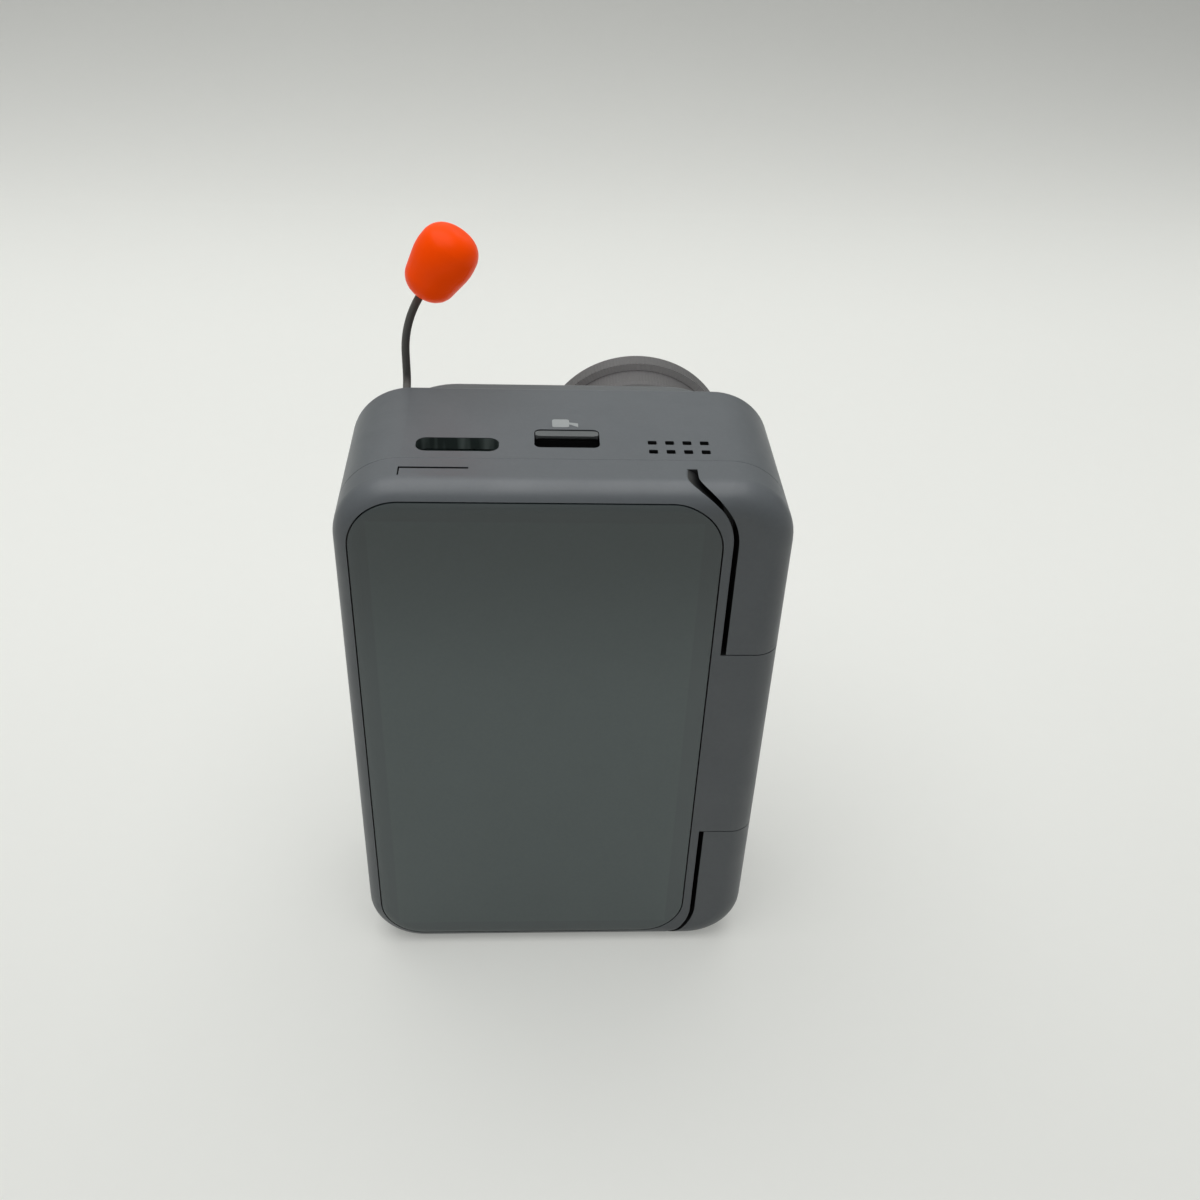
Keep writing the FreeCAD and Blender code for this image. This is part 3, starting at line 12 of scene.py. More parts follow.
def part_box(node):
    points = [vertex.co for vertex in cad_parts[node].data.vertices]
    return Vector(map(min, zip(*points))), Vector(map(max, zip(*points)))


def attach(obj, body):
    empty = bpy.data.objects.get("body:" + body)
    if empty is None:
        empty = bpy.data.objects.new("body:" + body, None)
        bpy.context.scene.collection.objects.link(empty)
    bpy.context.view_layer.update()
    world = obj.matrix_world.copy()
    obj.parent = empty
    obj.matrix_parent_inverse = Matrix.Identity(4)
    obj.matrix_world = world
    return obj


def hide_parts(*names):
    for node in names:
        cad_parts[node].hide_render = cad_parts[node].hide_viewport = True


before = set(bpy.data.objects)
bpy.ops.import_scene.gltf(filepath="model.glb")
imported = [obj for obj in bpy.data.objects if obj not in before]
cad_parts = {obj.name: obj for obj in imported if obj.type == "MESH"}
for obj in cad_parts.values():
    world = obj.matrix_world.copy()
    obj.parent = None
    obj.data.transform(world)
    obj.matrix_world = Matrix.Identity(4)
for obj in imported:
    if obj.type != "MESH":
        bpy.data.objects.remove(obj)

# The dressed thumb action camera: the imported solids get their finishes, small printed and plated pieces
# are added, and a pale studio stands round them. Lengths in the fields named _mm are millimetres and all
# others are metres, in the frame's own axes: X to the hinge side, Y out of the lens, Z up.

Tree = bpy.types.NodeTree
Node = bpy.types.Node
Socket = bpy.types.NodeSocket
Feed = Node | Socket
Thing = bpy.types.Object
PartTest = Callable[[Vector, Vector], bool]
Pair = tuple[float, float]
Triple = tuple[float, float, float]
Colour = tuple[float, float, float, float]

log = logging.getLogger("thumb_action_camera")
MM = 0.001
MERGE_DISTANCE = 1e-7
SAME_PLACE = 1e-6
SMOOTH_ANGLE = math.radians(32)
# A direction lies along an axis when its part on it is over ALONG, and across it when that is under ACROSS.
ALONG = 0.9
ACROSS = 0.1
# The span that most of a noise texture's values lie in.
NOISE_SPAN = (0.3, 0.7)


def linear(colour: str) -> Colour:
    """Turns an sRGB hex colour into Blender's linear one.

    Args:
        colour: Six hex digits after a hash sign.

    Returns:
        Red, green, blue and a full alpha.
    """
    channels = [int(colour[i:i + 2], 16) / 255 for i in (1, 3, 5)]
    red, green, blue = (c / 12.92 if c <= 0.04045 else ((c + 0.055) / 1.055) ** 2.4 for c in channels)
    return red, green, blue, 1.0


def shaded(colour: str, amount: float) -> Colour:
    """Gives a lighter or darker shade of a colour.

    Args:
        colour: The sRGB hex colour.
        amount: Factor on its linear value, under one for darker.

    Returns:
        The linear colour.
    """
    red, green, blue, alpha = linear(colour)
    return min(red * amount, 1), min(green * amount, 1), min(blue * amount, 1), alpha


def per_metre(pattern_mm: float) -> float:
    """Gives the texture scale at which one pattern cell is pattern_mm wide."""
    return 1 / (pattern_mm * MM)


def add(tree: Tree, kind: str, inputs: dict | Iterable = (), **settings) -> Node:
    """Adds one node with its settings, values and links.

    Args:
        tree: The node tree of the material or world.
        kind: The node's type name.
        inputs: A value for each socket, in their order or by name or number. A socket given as a value
            feeds it, and so does a node, from its first output.
        settings: The node's own properties.

    Returns:
        The new node.
    """
    made = tree.nodes.new(kind)
    for name, value in settings.items():
        setattr(made, name, value)
    for socket, value in inputs.items() if isinstance(inputs, dict) else enumerate(inputs):
        if isinstance(value, Node):
            value = value.outputs[0]
        if isinstance(value, Socket):
            tree.links.new(value, made.inputs[socket])
        else:
            made.inputs[socket].default_value = value
    return made


def outside_of(tree: Tree, place: Socket, letters: str, low: Pair, high: Pair) -> Socket:
    """Measures how far a point lies outside a rectangle.

    Args:
        tree: The material's tree.
        place: The object coordinates.
        letters: The two axes that the rectangle lies along.
        low: Its low corner.
        high: Its high corner.

    Returns:
        The distance in metres, negative inside.
    """
    axes = add(tree, "ShaderNodeSeparateXYZ", [place]).outputs
    sides = []
    for letter, start, end in zip(letters, low, high):
        off = add(tree, "ShaderNodeMath", [axes[letter], (start + end) / 2], operation="SUBTRACT")
        away = add(tree, "ShaderNodeMath", [off], operation="ABSOLUTE")
        sides.append(add(tree, "ShaderNodeMath", [away, (end - start) / 2], operation="SUBTRACT"))
    return add(tree, "ShaderNodeMath", sides, operation="MAXIMUM").outputs[0]


def radius_about(tree: Tree, place: Socket, axis: Triple) -> Socket:
    """Measures how far a point lies from a line along Y.

    Args:
        tree: The material's tree.
        place: The object coordinates.
        axis: A point on the line.

    Returns:
        The distance in metres.
    """
    centred = add(tree, "ShaderNodeVectorMath", [place, axis], operation="SUBTRACT")
    across = add(tree, "ShaderNodeVectorMath", [centred, (1.0, 0.0, 1.0)], operation="MULTIPLY")
    return add(tree, "ShaderNodeVectorMath", [across], operation="LENGTH").outputs["Value"]


def seen_directly(tree: Tree) -> Socket:
    """Tells the camera's view of a surface, also in a reflection or through glass, from all other light.

    Args:
        tree: The material's or the world's tree.

    Returns:
        1 for the camera's view and 0 for other light.
    """
    rays = add(tree, "ShaderNodeLightPath").outputs
    seen = add(tree, "ShaderNodeMath", [rays["Is Camera Ray"], rays["Is Glossy Ray"]], operation="MAXIMUM")
    return add(tree, "ShaderNodeMath", [seen, rays["Is Transmission Ray"]], operation="MAXIMUM").outputs[0]


class Grain(Enum):
    """How a surface was made, which sets the shape of its fine relief."""

    SPARK_ERODED = "noise"
    BEAD_BLASTED = "cells"
    TURNED = "rings"
    DRAWN = "streaks"
    WOVEN = "weave"
    POLISHED = "none"


@dataclass(frozen=True)
class Finish:
    """A surface with colour drift, fine relief and uneven gloss, all from real sizes."""

    name: str
    colour: str
    roughness: float
    metallic: float = 0.0
    ior: float = 1.5
    specular: float = 0.5
    grain: Grain = Grain.SPARK_ERODED
    grain_mm: float = 0.15
    relief_mm: float = 0.004
    drift: float = 0.06
    drift_mm: float = 9.0
    fleck_share: float = 0.35
    fleck_grains: float = 2.5
    gloss_drift: float = 0.05
    smudge_share: float = 0.6
    least_roughness: float = 0.01
    drawn_stretch: float = 0.04
    coat: float = 0.0
    coat_roughness: float = 0.1
    painted_glow: float = 0.0
    turned_about: Triple = (0.0, 0.0, 0.0)

    def build(self) -> bpy.types.Material:
        """Makes the material, or finds it if it is made already.

        Returns:
            The material, named for the finish.
        """
        made = bpy.data.materials.get(self.name)
        if made:
            return made
        made = bpy.data.materials.new(self.name)
        made.use_nodes = True
        tree = made.node_tree
        tree.nodes.clear()
        place = add(tree, "ShaderNodeTexCoord").outputs["Object"]
        shader = add(tree, "ShaderNodeBsdfPrincipled")
        self.set_uniform(shader)
        tree.links.new(self.colour_of(tree, place), shader.inputs["Base Color"])
        tree.links.new(self.roughness_of(tree, place), shader.inputs["Roughness"])
        height = self.height_of(tree, place)
        if height:
            bump = add(tree, "ShaderNodeBump",
                       {"Height": height, "Strength": 1.0, "Distance": self.relief_mm * MM})
            tree.links.new(bump.outputs["Normal"], shader.inputs["Normal"])
        add(tree, "ShaderNodeOutputMaterial", {"Surface": shader})
        return made

    def set_uniform(self, shader: Node) -> None:
        """Sets what is the same all over the surface.

        Args:
            shader: The material's shader node.
        """
        shader.inputs["Metallic"].default_value = self.metallic
        if not self.metallic:
            shader.inputs["IOR"].default_value = self.ior
            shader.inputs["Specular IOR Level"].default_value = self.specular
        shader.inputs["Coat Weight"].default_value = self.coat
        shader.inputs["Coat Roughness"].default_value = self.coat_roughness
        # Any emission here is painted light, on a part that is no lamp.
        shader.inputs["Emission Color"].default_value = linear(self.colour)
        shader.inputs["Emission Strength"].default_value = self.painted_glow

    def colour_of(self, tree: Tree, place: Socket) -> Socket:
        """Drifts the colour slowly over the surface, as pigment and light handling leave it.

        Args:
            tree: The material's tree.
            place: The object coordinates.

        Returns:
            The colour at the place.
        """
        cloud = add(tree, "ShaderNodeTexNoise",
                    {"Vector": place, "Scale": per_metre(self.drift_mm), "Detail": 3.0, "Roughness": 0.6})
        fleck = add(tree, "ShaderNodeTexNoise",
                    {"Vector": place, "Scale": per_metre(self.grain_mm * self.fleck_grains), "Detail": 1.0})
        both = add(tree, "ShaderNodeMix", {0: self.fleck_share, 2: cloud, 3: fleck})
        spread = add(tree, "ShaderNodeMapRange", [both, *NOISE_SPAN])
        darker, lighter = (shaded(self.colour, 1 + change) for change in (-self.drift, self.drift))
        return add(tree, "ShaderNodeMix", {0: spread, 6: darker, 7: lighter}, data_type="RGBA").outputs[2]

    def roughness_of(self, tree: Tree, place: Socket) -> Socket:
        """Makes the gloss uneven, as fingers and the mould leave it.

        Args:
            tree: The material's tree.
            place: The object coordinates.

        Returns:
            The roughness at the place.
        """
        scale = per_metre(self.drift_mm * self.smudge_share)
        smudge = add(tree, "ShaderNodeTexNoise",
                     {"Vector": place, "Scale": scale, "Detail": 4.0, "Distortion": 0.6})
        low = max(self.roughness - self.gloss_drift, self.least_roughness)
        high = self.roughness + self.gloss_drift
        return add(tree, "ShaderNodeMapRange", [smudge, *NOISE_SPAN, low, high]).outputs[0]

    def height_of(self, tree: Tree, place: Socket) -> Socket | None:
        """Draws the fine relief that the making leaves.

        Args:
            tree: The material's tree.
            place: The object coordinates.

        Returns:
            The height, or None for a polished surface.
        """
        if self.grain is Grain.POLISHED:
            return None
        scale = per_metre(self.grain_mm)
        pattern = {"Vector": place, "Scale": scale}
        if self.grain is Grain.SPARK_ERODED:
            return add(tree, "ShaderNodeTexNoise", pattern | {"Detail": 2.0, "Roughness": 0.7}).outputs[0]
        if self.grain is Grain.BEAD_BLASTED:
            return add(tree, "ShaderNodeTexVoronoi", pattern).outputs[0]
        if self.grain is Grain.DRAWN:
            along = add(tree, "ShaderNodeMapping", {"Vector": place, "Scale": (1.0, 1.0, self.drawn_stretch)})
            return add(tree, "ShaderNodeTexNoise", pattern | {"Vector": along, "Detail": 1.0}).outputs[0]
        if self.grain is Grain.WOVEN:
            return self.weave(tree, place, scale)
        radius = radius_about(tree, place, self.turned_about)
        turns = add(tree, "ShaderNodeMath", [radius, scale * 2 * math.pi], operation="MULTIPLY")
        return add(tree, "ShaderNodeMath", [turns], operation="SINE").outputs[0]

    def weave(self, tree: Tree, place: Socket, scale: float) -> Socket:
        """Crosses two sets of threads, one along X and one along Y.

        Args:
            tree: The material's tree.
            place: The object coordinates.
            scale: The threads in one metre.

        Returns:
            The height at the place.
        """
        pattern = {"Vector": place, "Scale": scale / (2 * math.pi)}
        waves = []
        for direction in ("X", "Y"):
            wave = add(tree, "ShaderNodeTexWave", pattern, wave_type="BANDS", bands_direction=direction)
            waves.append(wave.outputs["Fac"])
        return add(tree, "ShaderNodeMath", waves, operation="MAXIMUM").outputs[0]


@dataclass(frozen=True)
class PaintedSkin(Finish):
    """Soft-touch paint on the outside of the moulding, with near black painted shade below it, inside gaps,
    holes and seats.
    """

    # Near black painted shade for every surface deeper than the paint's skin.
    recess_painted_shade: str = "#0B0C0D"
    skin_mm: float = 0.07
    skin_edge_mm: float = 0.02
    middle: Triple = (0.0, 0.0, 0.0)
    half: Triple = (0.0, 0.0, 0.0)
    corner_mm: float = 6.9
    rear_edge_mm: float = 2.8
    front_edge_mm: float = 0.8
    port_low: Pair = (0.0, 0.0)
    port_high: Pair = (0.0, 0.0)
    lining_colour: str = "#36413F"
    streak_painted_reflection: str = "#7A8683"
    streak_mm: float = 1.1
    streak_stretch: Triple = (1.0, 0.3, 0.1)
    streak_span: Pair = (0.45, 0.65)
    barrel: Pair = (0.0, 0.0)
    barrel_from: float = 0.0
    barrel_skin_mm: float = 1.2

    def colour_of(self, tree: Tree, place: Socket) -> Socket:
        """Shows the paint on the rounded block's outer surface and the near black painted shade below it.

        Args:
            tree: The material's tree.
            place: The object coordinates.

        Returns:
            The colour at the place.
        """
        paint = super().colour_of(tree, place)
        depth = self.depth_of(tree, place)
        if self.barrel[1] > self.barrel[0]:
            depth = add(tree, "ShaderNodeMath", [depth, self.barrel_of(tree, place)], operation="SUBTRACT")
        low, high = ((self.skin_mm + side) * MM for side in (-self.skin_edge_mm, self.skin_edge_mm))
        painted_shade_share = add(tree, "ShaderNodeMapRange", [depth, low, high])
        in_port = self.port_of(tree, place)
        colours = {6: linear(self.recess_painted_shade), 7: self.lining_of(tree, place)}
        inner = add(tree, "ShaderNodeMix", {0: in_port, **colours}, data_type="RGBA").outputs[2]
        return add(tree, "ShaderNodeMix", {0: painted_shade_share, 6: paint, 7: inner}, data_type="RGBA").outputs[2]

    def barrel_of(self, tree: Tree, place: Socket) -> Socket:
        """Finds how much deeper the paint reaches round the hinge barrel.

        Args:
            tree: The material's tree.
            place: The object coordinates.

        Returns:
            The added depth in metres, and 0 beyond the barrel's ends.
        """
        low, high = self.barrel
        axes = add(tree, "ShaderNodeSeparateXYZ", [place]).outputs
        off = add(tree, "ShaderNodeMath", [axes["Z"], (low + high) / 2], operation="SUBTRACT")
        away = add(tree, "ShaderNodeMath", [off], operation="ABSOLUTE")
        between = add(tree, "ShaderNodeMath", [away, (high - low) / 2], operation="LESS_THAN")
        beside = add(tree, "ShaderNodeMath", [axes["X"], self.barrel_from], operation="GREATER_THAN")
        on_barrel = add(tree, "ShaderNodeMath", [between, beside], operation="MULTIPLY")
        skin = self.barrel_skin_mm * MM
        return add(tree, "ShaderNodeMath", [on_barrel, skin], operation="MULTIPLY").outputs[0]

    def port_of(self, tree: Tree, place: Socket) -> Socket:
        """Gives 1 inside the port's mouth and 0 elsewhere."""
        outside = outside_of(tree, place, "XY", self.port_low, self.port_high)
        return add(tree, "ShaderNodeMath", [outside, 0.0], operation="LESS_THAN").outputs[0]

    def lining_of(self, tree: Tree, place: Socket) -> Socket:
        """Lines the port's mouth with dark metal that carries pale streaks of painted reflection.

        Args:
            tree: The material's tree.
            place: The object coordinates.

        Returns:
            The colour at the place.
        """
        stretched = add(tree, "ShaderNodeMapping", {"Vector": place, "Scale": self.streak_stretch})
        streak = add(tree, "ShaderNodeTexNoise",
                     {"Vector": stretched, "Scale": per_metre(self.streak_mm), "Detail": 1.0})
        share = add(tree, "ShaderNodeMapRange", [streak, *self.streak_span])
        colours = {6: linear(self.lining_colour), 7: linear(self.streak_painted_reflection)}
        return add(tree, "ShaderNodeMix", {0: share, **colours}, data_type="RGBA").outputs[2]

    def depth_of(self, tree: Tree, place: Socket) -> Socket:
        """Measures how far a point lies under the rounded block's outer surface.

        Args:
            tree: The material's tree.
            place: The object coordinates.

        Returns:
            The depth in metres, negative outside.
        """
        centred = add(tree, "ShaderNodeVectorMath", [place, self.middle], operation="SUBTRACT")
        axes = add(tree, "ShaderNodeSeparateXYZ", [centred]).outputs
        corner = self.corner_mm * MM
        sides = []
        for letter, half in (("X", self.half[0]), ("Z", self.half[2])):
            away = add(tree, "ShaderNodeMath", [axes[letter]], operation="ABSOLUTE")
            sides.append(add(tree, "ShaderNodeMath", [away, half - corner], operation="SUBTRACT"))
        outline = self.rounded(tree, *sides, corner)
        rear = add(tree, "ShaderNodeMath", [axes["Y"], -1.0], operation="MULTIPLY")
        behind = self.edged(tree, outline, rear, self.rear_edge_mm * MM)
        before = self.edged(tree, outline, axes["Y"], self.front_edge_mm * MM)
        outside = add(tree, "ShaderNodeMath", [behind, before], operation="MAXIMUM")
        return add(tree, "ShaderNodeMath", [outside, -1.0], operation="MULTIPLY").outputs[0]

    def edged(self, tree: Tree, outline: Socket, height: Feed, edge: float) -> Socket:
        """Rounds the edge between the outline's wall and one face of the block.

        Args:
            tree: The material's tree.
            outline: How far the place lies outside the wall.
            height: How far it lies from the block's middle towards the face.
            edge: The edge's radius.

        Returns:
            The distance outside the block in metres.
        """
        wall = add(tree, "ShaderNodeMath", [outline, -edge], operation="SUBTRACT")
        face = add(tree, "ShaderNodeMath", [height, self.half[1] - edge], operation="SUBTRACT")
        return self.rounded(tree, wall, face, edge)

    @staticmethod
    def rounded(tree: Tree, first: Feed, second: Feed, radius: float) -> Socket:
        """Joins two distances with a round corner between them.

        Args:
            tree: The material's tree.
            first: The distance past one side, less the radius.
            second: The distance past the other side, less the radius.
            radius: The corner's radius.

        Returns:
            The distance outside the corner in metres.
        """
        furthest = add(tree, "ShaderNodeMath", [first, second], operation="MAXIMUM")
        inner = add(tree, "ShaderNodeMath", [furthest, 0.0], operation="MINIMUM")
        squares = []
        for side in (first, second):
            past = add(tree, "ShaderNodeMath", [side, 0.0], operation="MAXIMUM")
            squares.append(add(tree, "ShaderNodeMath", [past, 2.0], operation="POWER"))
        total = add(tree, "ShaderNodeMath", squares, operation="ADD")
        outer = add(tree, "ShaderNodeMath", [total], operation="SQRT")
        both = add(tree, "ShaderNodeMath", [inner, outer], operation="ADD")
        return add(tree, "ShaderNodeMath", [both, radius], operation="SUBTRACT").outputs[0]


@dataclass(frozen=True)
class TurretedShell(Finish):
    """A moulded shell whose lens turret is coloured a darker neutral grey, as painted shade for the crevice
    behind the ring that turns on it.
    """

    turret_painted_shade: str = "#484849"
    turret_from: float = 0.0

    def colour_of(self, tree: Tree, place: Socket) -> Socket:
        """Paints the crevice's shade on the turret, in front of the shell's flat face.

        Args:
            tree: The material's tree.
            place: The object coordinates.

        Returns:
            The colour at the place.
        """
        shell = super().colour_of(tree, place)
        forward = add(tree, "ShaderNodeSeparateXYZ", [place]).outputs["Y"]
        on_turret = add(tree, "ShaderNodeMath", [forward, self.turret_from], operation="GREATER_THAN")
        colours = {6: shell, 7: linear(self.turret_painted_shade)}
        return add(tree, "ShaderNodeMix", {0: on_turret, **colours}, data_type="RGBA").outputs[2]


@dataclass(frozen=True)
class LensGlass(Finish):
    """Clear optical glass with an anti-reflection coating of a given thickness in nanometres."""

    coating_nm: float = 115.0
    coating_ior: float = 1.38

    def set_uniform(self, shader: Node) -> None:
        """Makes the glass clear and gives it its thin coating.

        Args:
            shader: The material's shader node.
        """
        super().set_uniform(shader)
        shader.inputs["Transmission Weight"].default_value = 1.0
        shader.inputs["Thin Film Thickness"].default_value = self.coating_nm
        shader.inputs["Thin Film IOR"].default_value = self.coating_ior


@dataclass(frozen=True)
class KnurledRing(Finish):
    """A turned ring with a fine straight knurl round it, drawn at 180 lines so that it shows."""

    lines: int = 180
    axis: Triple = (0.0, 0.0, 0.0)
    knurl_mm: float = 0.02
    # Painted light: how much brighter the faces toward the pod are drawn, on the flange and inside it.
    flange_painted_light: float = 3.1
    rear_painted_light: float = 1.5
    flange_from: float = 0.0
    rearward_span: Pair = (-0.9, -0.6)

    def colour_of(self, tree: Tree, place: Socket) -> Socket:
        """Paints light on the faces toward the pod, which face away from the overhead light, so that they
        look paler.

        Args:
            tree: The material's tree.
            place: The object coordinates.

        Returns:
            The colour at the place, palest on the flange.
        """
        colour = super().colour_of(tree, place)
        facing = add(tree, "ShaderNodeTexCoord").outputs["Normal"]
        rearward = add(tree, "ShaderNodeSeparateXYZ", [facing]).outputs["Y"]
        radius = radius_about(tree, place, self.axis)
        on_flange = add(tree, "ShaderNodeMath", [radius, self.flange_from], operation="GREATER_THAN")
        shade = add(tree, "ShaderNodeMix", {0: on_flange, 2: self.rear_painted_light, 3: self.flange_painted_light})
        # The painted light, full on faces that look straight toward the pod.
        turned = add(tree, "ShaderNodeMapRange", [rearward, *self.rearward_span, shade, 1.0])
        return add(tree, "ShaderNodeVectorMath", {0: colour, "Scale": turned}, operation="SCALE").outputs[0]

    def height_of(self, tree: Tree, place: Socket) -> Socket:
        """Adds the knurl's lines to the blasted pebble.

        Args:
            tree: The material's tree.
            place: The object coordinates.

        Returns:
            The height at the place.
        """
        pebble = super().height_of(tree, place)
        centred = add(tree, "ShaderNodeVectorMath", [place, self.axis], operation="SUBTRACT")
        axes = add(tree, "ShaderNodeSeparateXYZ", [centred]).outputs
        turn = add(tree, "ShaderNodeMath", [axes["Z"], axes["X"]], operation="ARCTAN2")
        phase = add(tree, "ShaderNodeMath", [turn, float(self.lines)], operation="MULTIPLY")
        line = add(tree, "ShaderNodeMath", [phase], operation="SINE")
        ridge = add(tree, "ShaderNodeMath", [line, self.knurl_mm / self.relief_mm / 2], operation="MULTIPLY")
        return add(tree, "ShaderNodeMath", [pebble, ridge], operation="ADD").outputs[0]


@dataclass(frozen=True)
class DisplayGlass(Finish):
    """Cover glass over a display that is off, with a printed border, and painted shade that darkens it toward
    its top.
    """

    border_colour: str = "#15181A"
    border_edge_mm: float = 0.1
    low: Pair = (0.0, 0.0)
    high: Pair = (0.0, 0.0)
    head_share: float = 0.4
    head_painted_shade: float = 0.62

    def colour_of(self, tree: Tree, place: Socket) -> Socket:
        """Mixes the printed border and the display by their place on the glass.

        Args:
            tree: The material's tree.
            place: The object coordinates.

        Returns:
            The colour at the place.
        """
        display = super().colour_of(tree, place)
        outside = outside_of(tree, place, "XZ", self.low, self.high)
        edge = self.border_edge_mm * MM
        border = add(tree, "ShaderNodeMapRange", [outside, -edge, edge])
        colours = {6: display, 7: linear(self.border_colour)}
        mix = add(tree, "ShaderNodeMix", {0: border, **colours}, data_type="RGBA").outputs[2]
        # Painted shade: the colour darkens smoothly over the top share of the glass.
        top = self.high[1]
        head = top - (top - self.low[1]) * self.head_share
        height = add(tree, "ShaderNodeSeparateXYZ", [place]).outputs["Z"]
        fade = add(tree, "ShaderNodeMapRange", [height, head, top, 1.0, self.head_painted_shade],
                   interpolation_type="SMOOTHSTEP")
        return add(tree, "ShaderNodeVectorMath", {0: mix, "Scale": fade}, operation="SCALE").outputs[0]


@dataclass(frozen=True)
class BackdropPaper(Finish):
    """Matt paper that keeps shadows, with painted light that only the camera sees, graded by how far back and
    up it lies.
    """

    stops: tuple[Pair, ...] = ()

    def build(self) -> bpy.types.Material:
        """Adds painted light, which only the camera and reflections see, to the plain paper.

        Returns:
            The paper's material.
        """
        made = super().build()
        tree = made.node_tree
        shader = next(node for node in tree.nodes if node.type == "BSDF_PRINCIPLED")
        place = add(tree, "ShaderNodeTexCoord").outputs["Object"]
        axes = add(tree, "ShaderNodeSeparateXYZ", [place]).outputs
        far = add(tree, "ShaderNodeMath", [axes["Y"], axes["Z"]], operation="ADD")
        level = None
        for (near_place, near_level), (far_place, far_level) in zip(self.stops, self.stops[1:]):
            span = [0.0, far_level - near_level] if level else [near_level, far_level]
            step = add(tree, "ShaderNodeMapRange", [far, near_place, far_place, *span],
                       interpolation_type="SMOOTHSTEP")
            level = add(tree, "ShaderNodeMath", [level, step], operation="ADD") if level else step
        painted_paper_light = add(tree, "ShaderNodeMath", [level, seen_directly(tree)], operation="MULTIPLY")
        tree.links.new(painted_paper_light.outputs[0], shader.inputs["Emission Strength"])
        return made


@dataclass(frozen=True)
class CircuitBoard(Finish):
    """Glass-epoxy board under solder mask, with copper tracks showing as raised lines."""

    brick_mm: float = 3.2
    track_share: float = 0.03

    def height_of(self, tree: Tree, place: Socket) -> Socket:
        """Raises the tracks under the mask."""
        tracks = {"Vector": place, "Scale": per_metre(self.brick_mm), "Mortar Size": self.track_share}
        return add(tree, "ShaderNodeTexBrick", tracks).outputs["Fac"]


POD_LOW, POD_HIGH = (Vector(corner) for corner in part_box("pod_housing"))
POD_LOW.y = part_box("pod_rear_plate")[0].y
POD_MIDDLE = tuple((POD_LOW + POD_HIGH) / 2)
POD_HALF = tuple((POD_HIGH - POD_LOW) / 2)
BUSHES_LOW, BUSHES_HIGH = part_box("hinge_bushes")
BARREL_ROOM = 2 * MM
PORT_LOW, PORT_HIGH = (tuple(corner)[:2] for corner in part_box("usb_receptacle"))
RING_LOW, RING_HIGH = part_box("lens_guard_ring")
LENS_AXIS = tuple((RING_LOW + RING_HIGH) / 2)
RING_RADIUS = (RING_HIGH.x - RING_LOW.x) / 2
FLANGE_STEP = 0.85 * MM
TURRET_REACH = 2.3 * MM

# Polycarbonate, injection moulded and painted grey outside: matt, with a fine even grain, and near black
# where the paint doesn't reach, as painted shade in gaps, holes and recesses. Inside the port's mouth its
# metal lining shows, with streaks of painted reflection.
SHELL = PaintedSkin("polycarbonate_shell_painted_grey", "#595E62", 0.5, grain_mm=0.16, relief_mm=0.005,
                    coat=0.2, coat_roughness=0.3, middle=POD_MIDDLE, half=POD_HALF, port_low=PORT_LOW,
                    port_high=PORT_HIGH)
# The screen's frame is the same shell, but its paint also reaches round the hinge barrel.
SCREEN_SHELL = replace(SHELL, name="polycarbonate_screen_frame_painted_grey",
                       barrel=(BUSHES_LOW.z, BUSHES_HIGH.z), barrel_from=BUSHES_LOW.x - BARREL_ROOM)
# The camera's shells are moulded in grey right through, and the front one's turret carries painted shade.
CAMERA_GREY = {"colour": "#5D6163", "roughness": 0.48, "grain_mm": 0.16, "relief_mm": 0.005, "coat": 0.2,
               "coat_roughness": 0.3}
CAMERA_SHELL = Finish("polycarbonate_camera_shell_moulded_grey", **CAMERA_GREY)
TURRET_SHELL = TurretedShell("polycarbonate_camera_front_moulded_grey", **CAMERA_GREY,
                             turret_from=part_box("camera_front_shell")[1].y - TURRET_REACH)
# Buttons of the same painted polycarbonate, with a finer grain where fingers press, and the same near black
# painted shade below the paint.
BUTTON = PaintedSkin("polycarbonate_button_painted_grey", "#5C6063", 0.46, grain_mm=0.12, relief_mm=0.003,
                     middle=POD_MIDDLE, half=POD_HALF, skin_mm=0.45)
RELEASE = replace(BUTTON, name="polycarbonate_release_painted_grey", colour="#606465", roughness=0.48,
                  skin_mm=0.16)
# Glass-filled nylon of the switches, the contact block and the latch, with fibres that roughen it.
INNER_PLASTIC = Finish("glass_filled_nylon_moulded_black", "#17181A", 0.55, grain_mm=0.2, relief_mm=0.006)
# Satin ABS, moulded orange: smoother than the shell, with a soft broad highlight. Its emission is painted
# light, which makes its shaded side brighter than plain paint.
ORANGE = Finish("abs_bead_moulded_orange_painted_glow", "#F04600", 0.36, specular=0.1, painted_glow=0.36, grain_mm=0.3,
                relief_mm=0.003, drift=0.04, drift_mm=3.0)
# Silicone sleeve over spring wire, extruded: dull, with faint lines along it.
SLEEVE = Finish("silicone_sleeve_extruded_black", "#666663", 0.62, ior=1.41, grain=Grain.DRAWN, grain_mm=0.12,
                relief_mm=0.01)
# Aluminium turned, finely knurled, bead blasted and anodised: its matt oxide scatters most of the light. Its
# faces toward the pod carry painted light.
GUARD = KnurledRing("aluminium_ring_knurled_anodised_grey", "#6A6969", 0.6, metallic=0.35,
                    grain=Grain.BEAD_BLASTED, grain_mm=0.14, relief_mm=0.004, drift=0.05, axis=LENS_AXIS,
                    flange_from=RING_RADIUS - FLANGE_STEP)
# Aluminium turned and anodised black, so that no light strays round the lens.
BARREL = Finish("aluminium_barrel_turned_anodised_black", "#1B1C1E", 0.38, metallic=1.0, grain=Grain.TURNED,
                grain_mm=0.25, relief_mm=0.006, turned_about=LENS_AXIS)
FERRULE = Finish("aluminium_ferrule_turned_anodised_black", "#2C2D2F", 0.4, metallic=1.0, grain=Grain.DRAWN,
                 grain_mm=0.1)
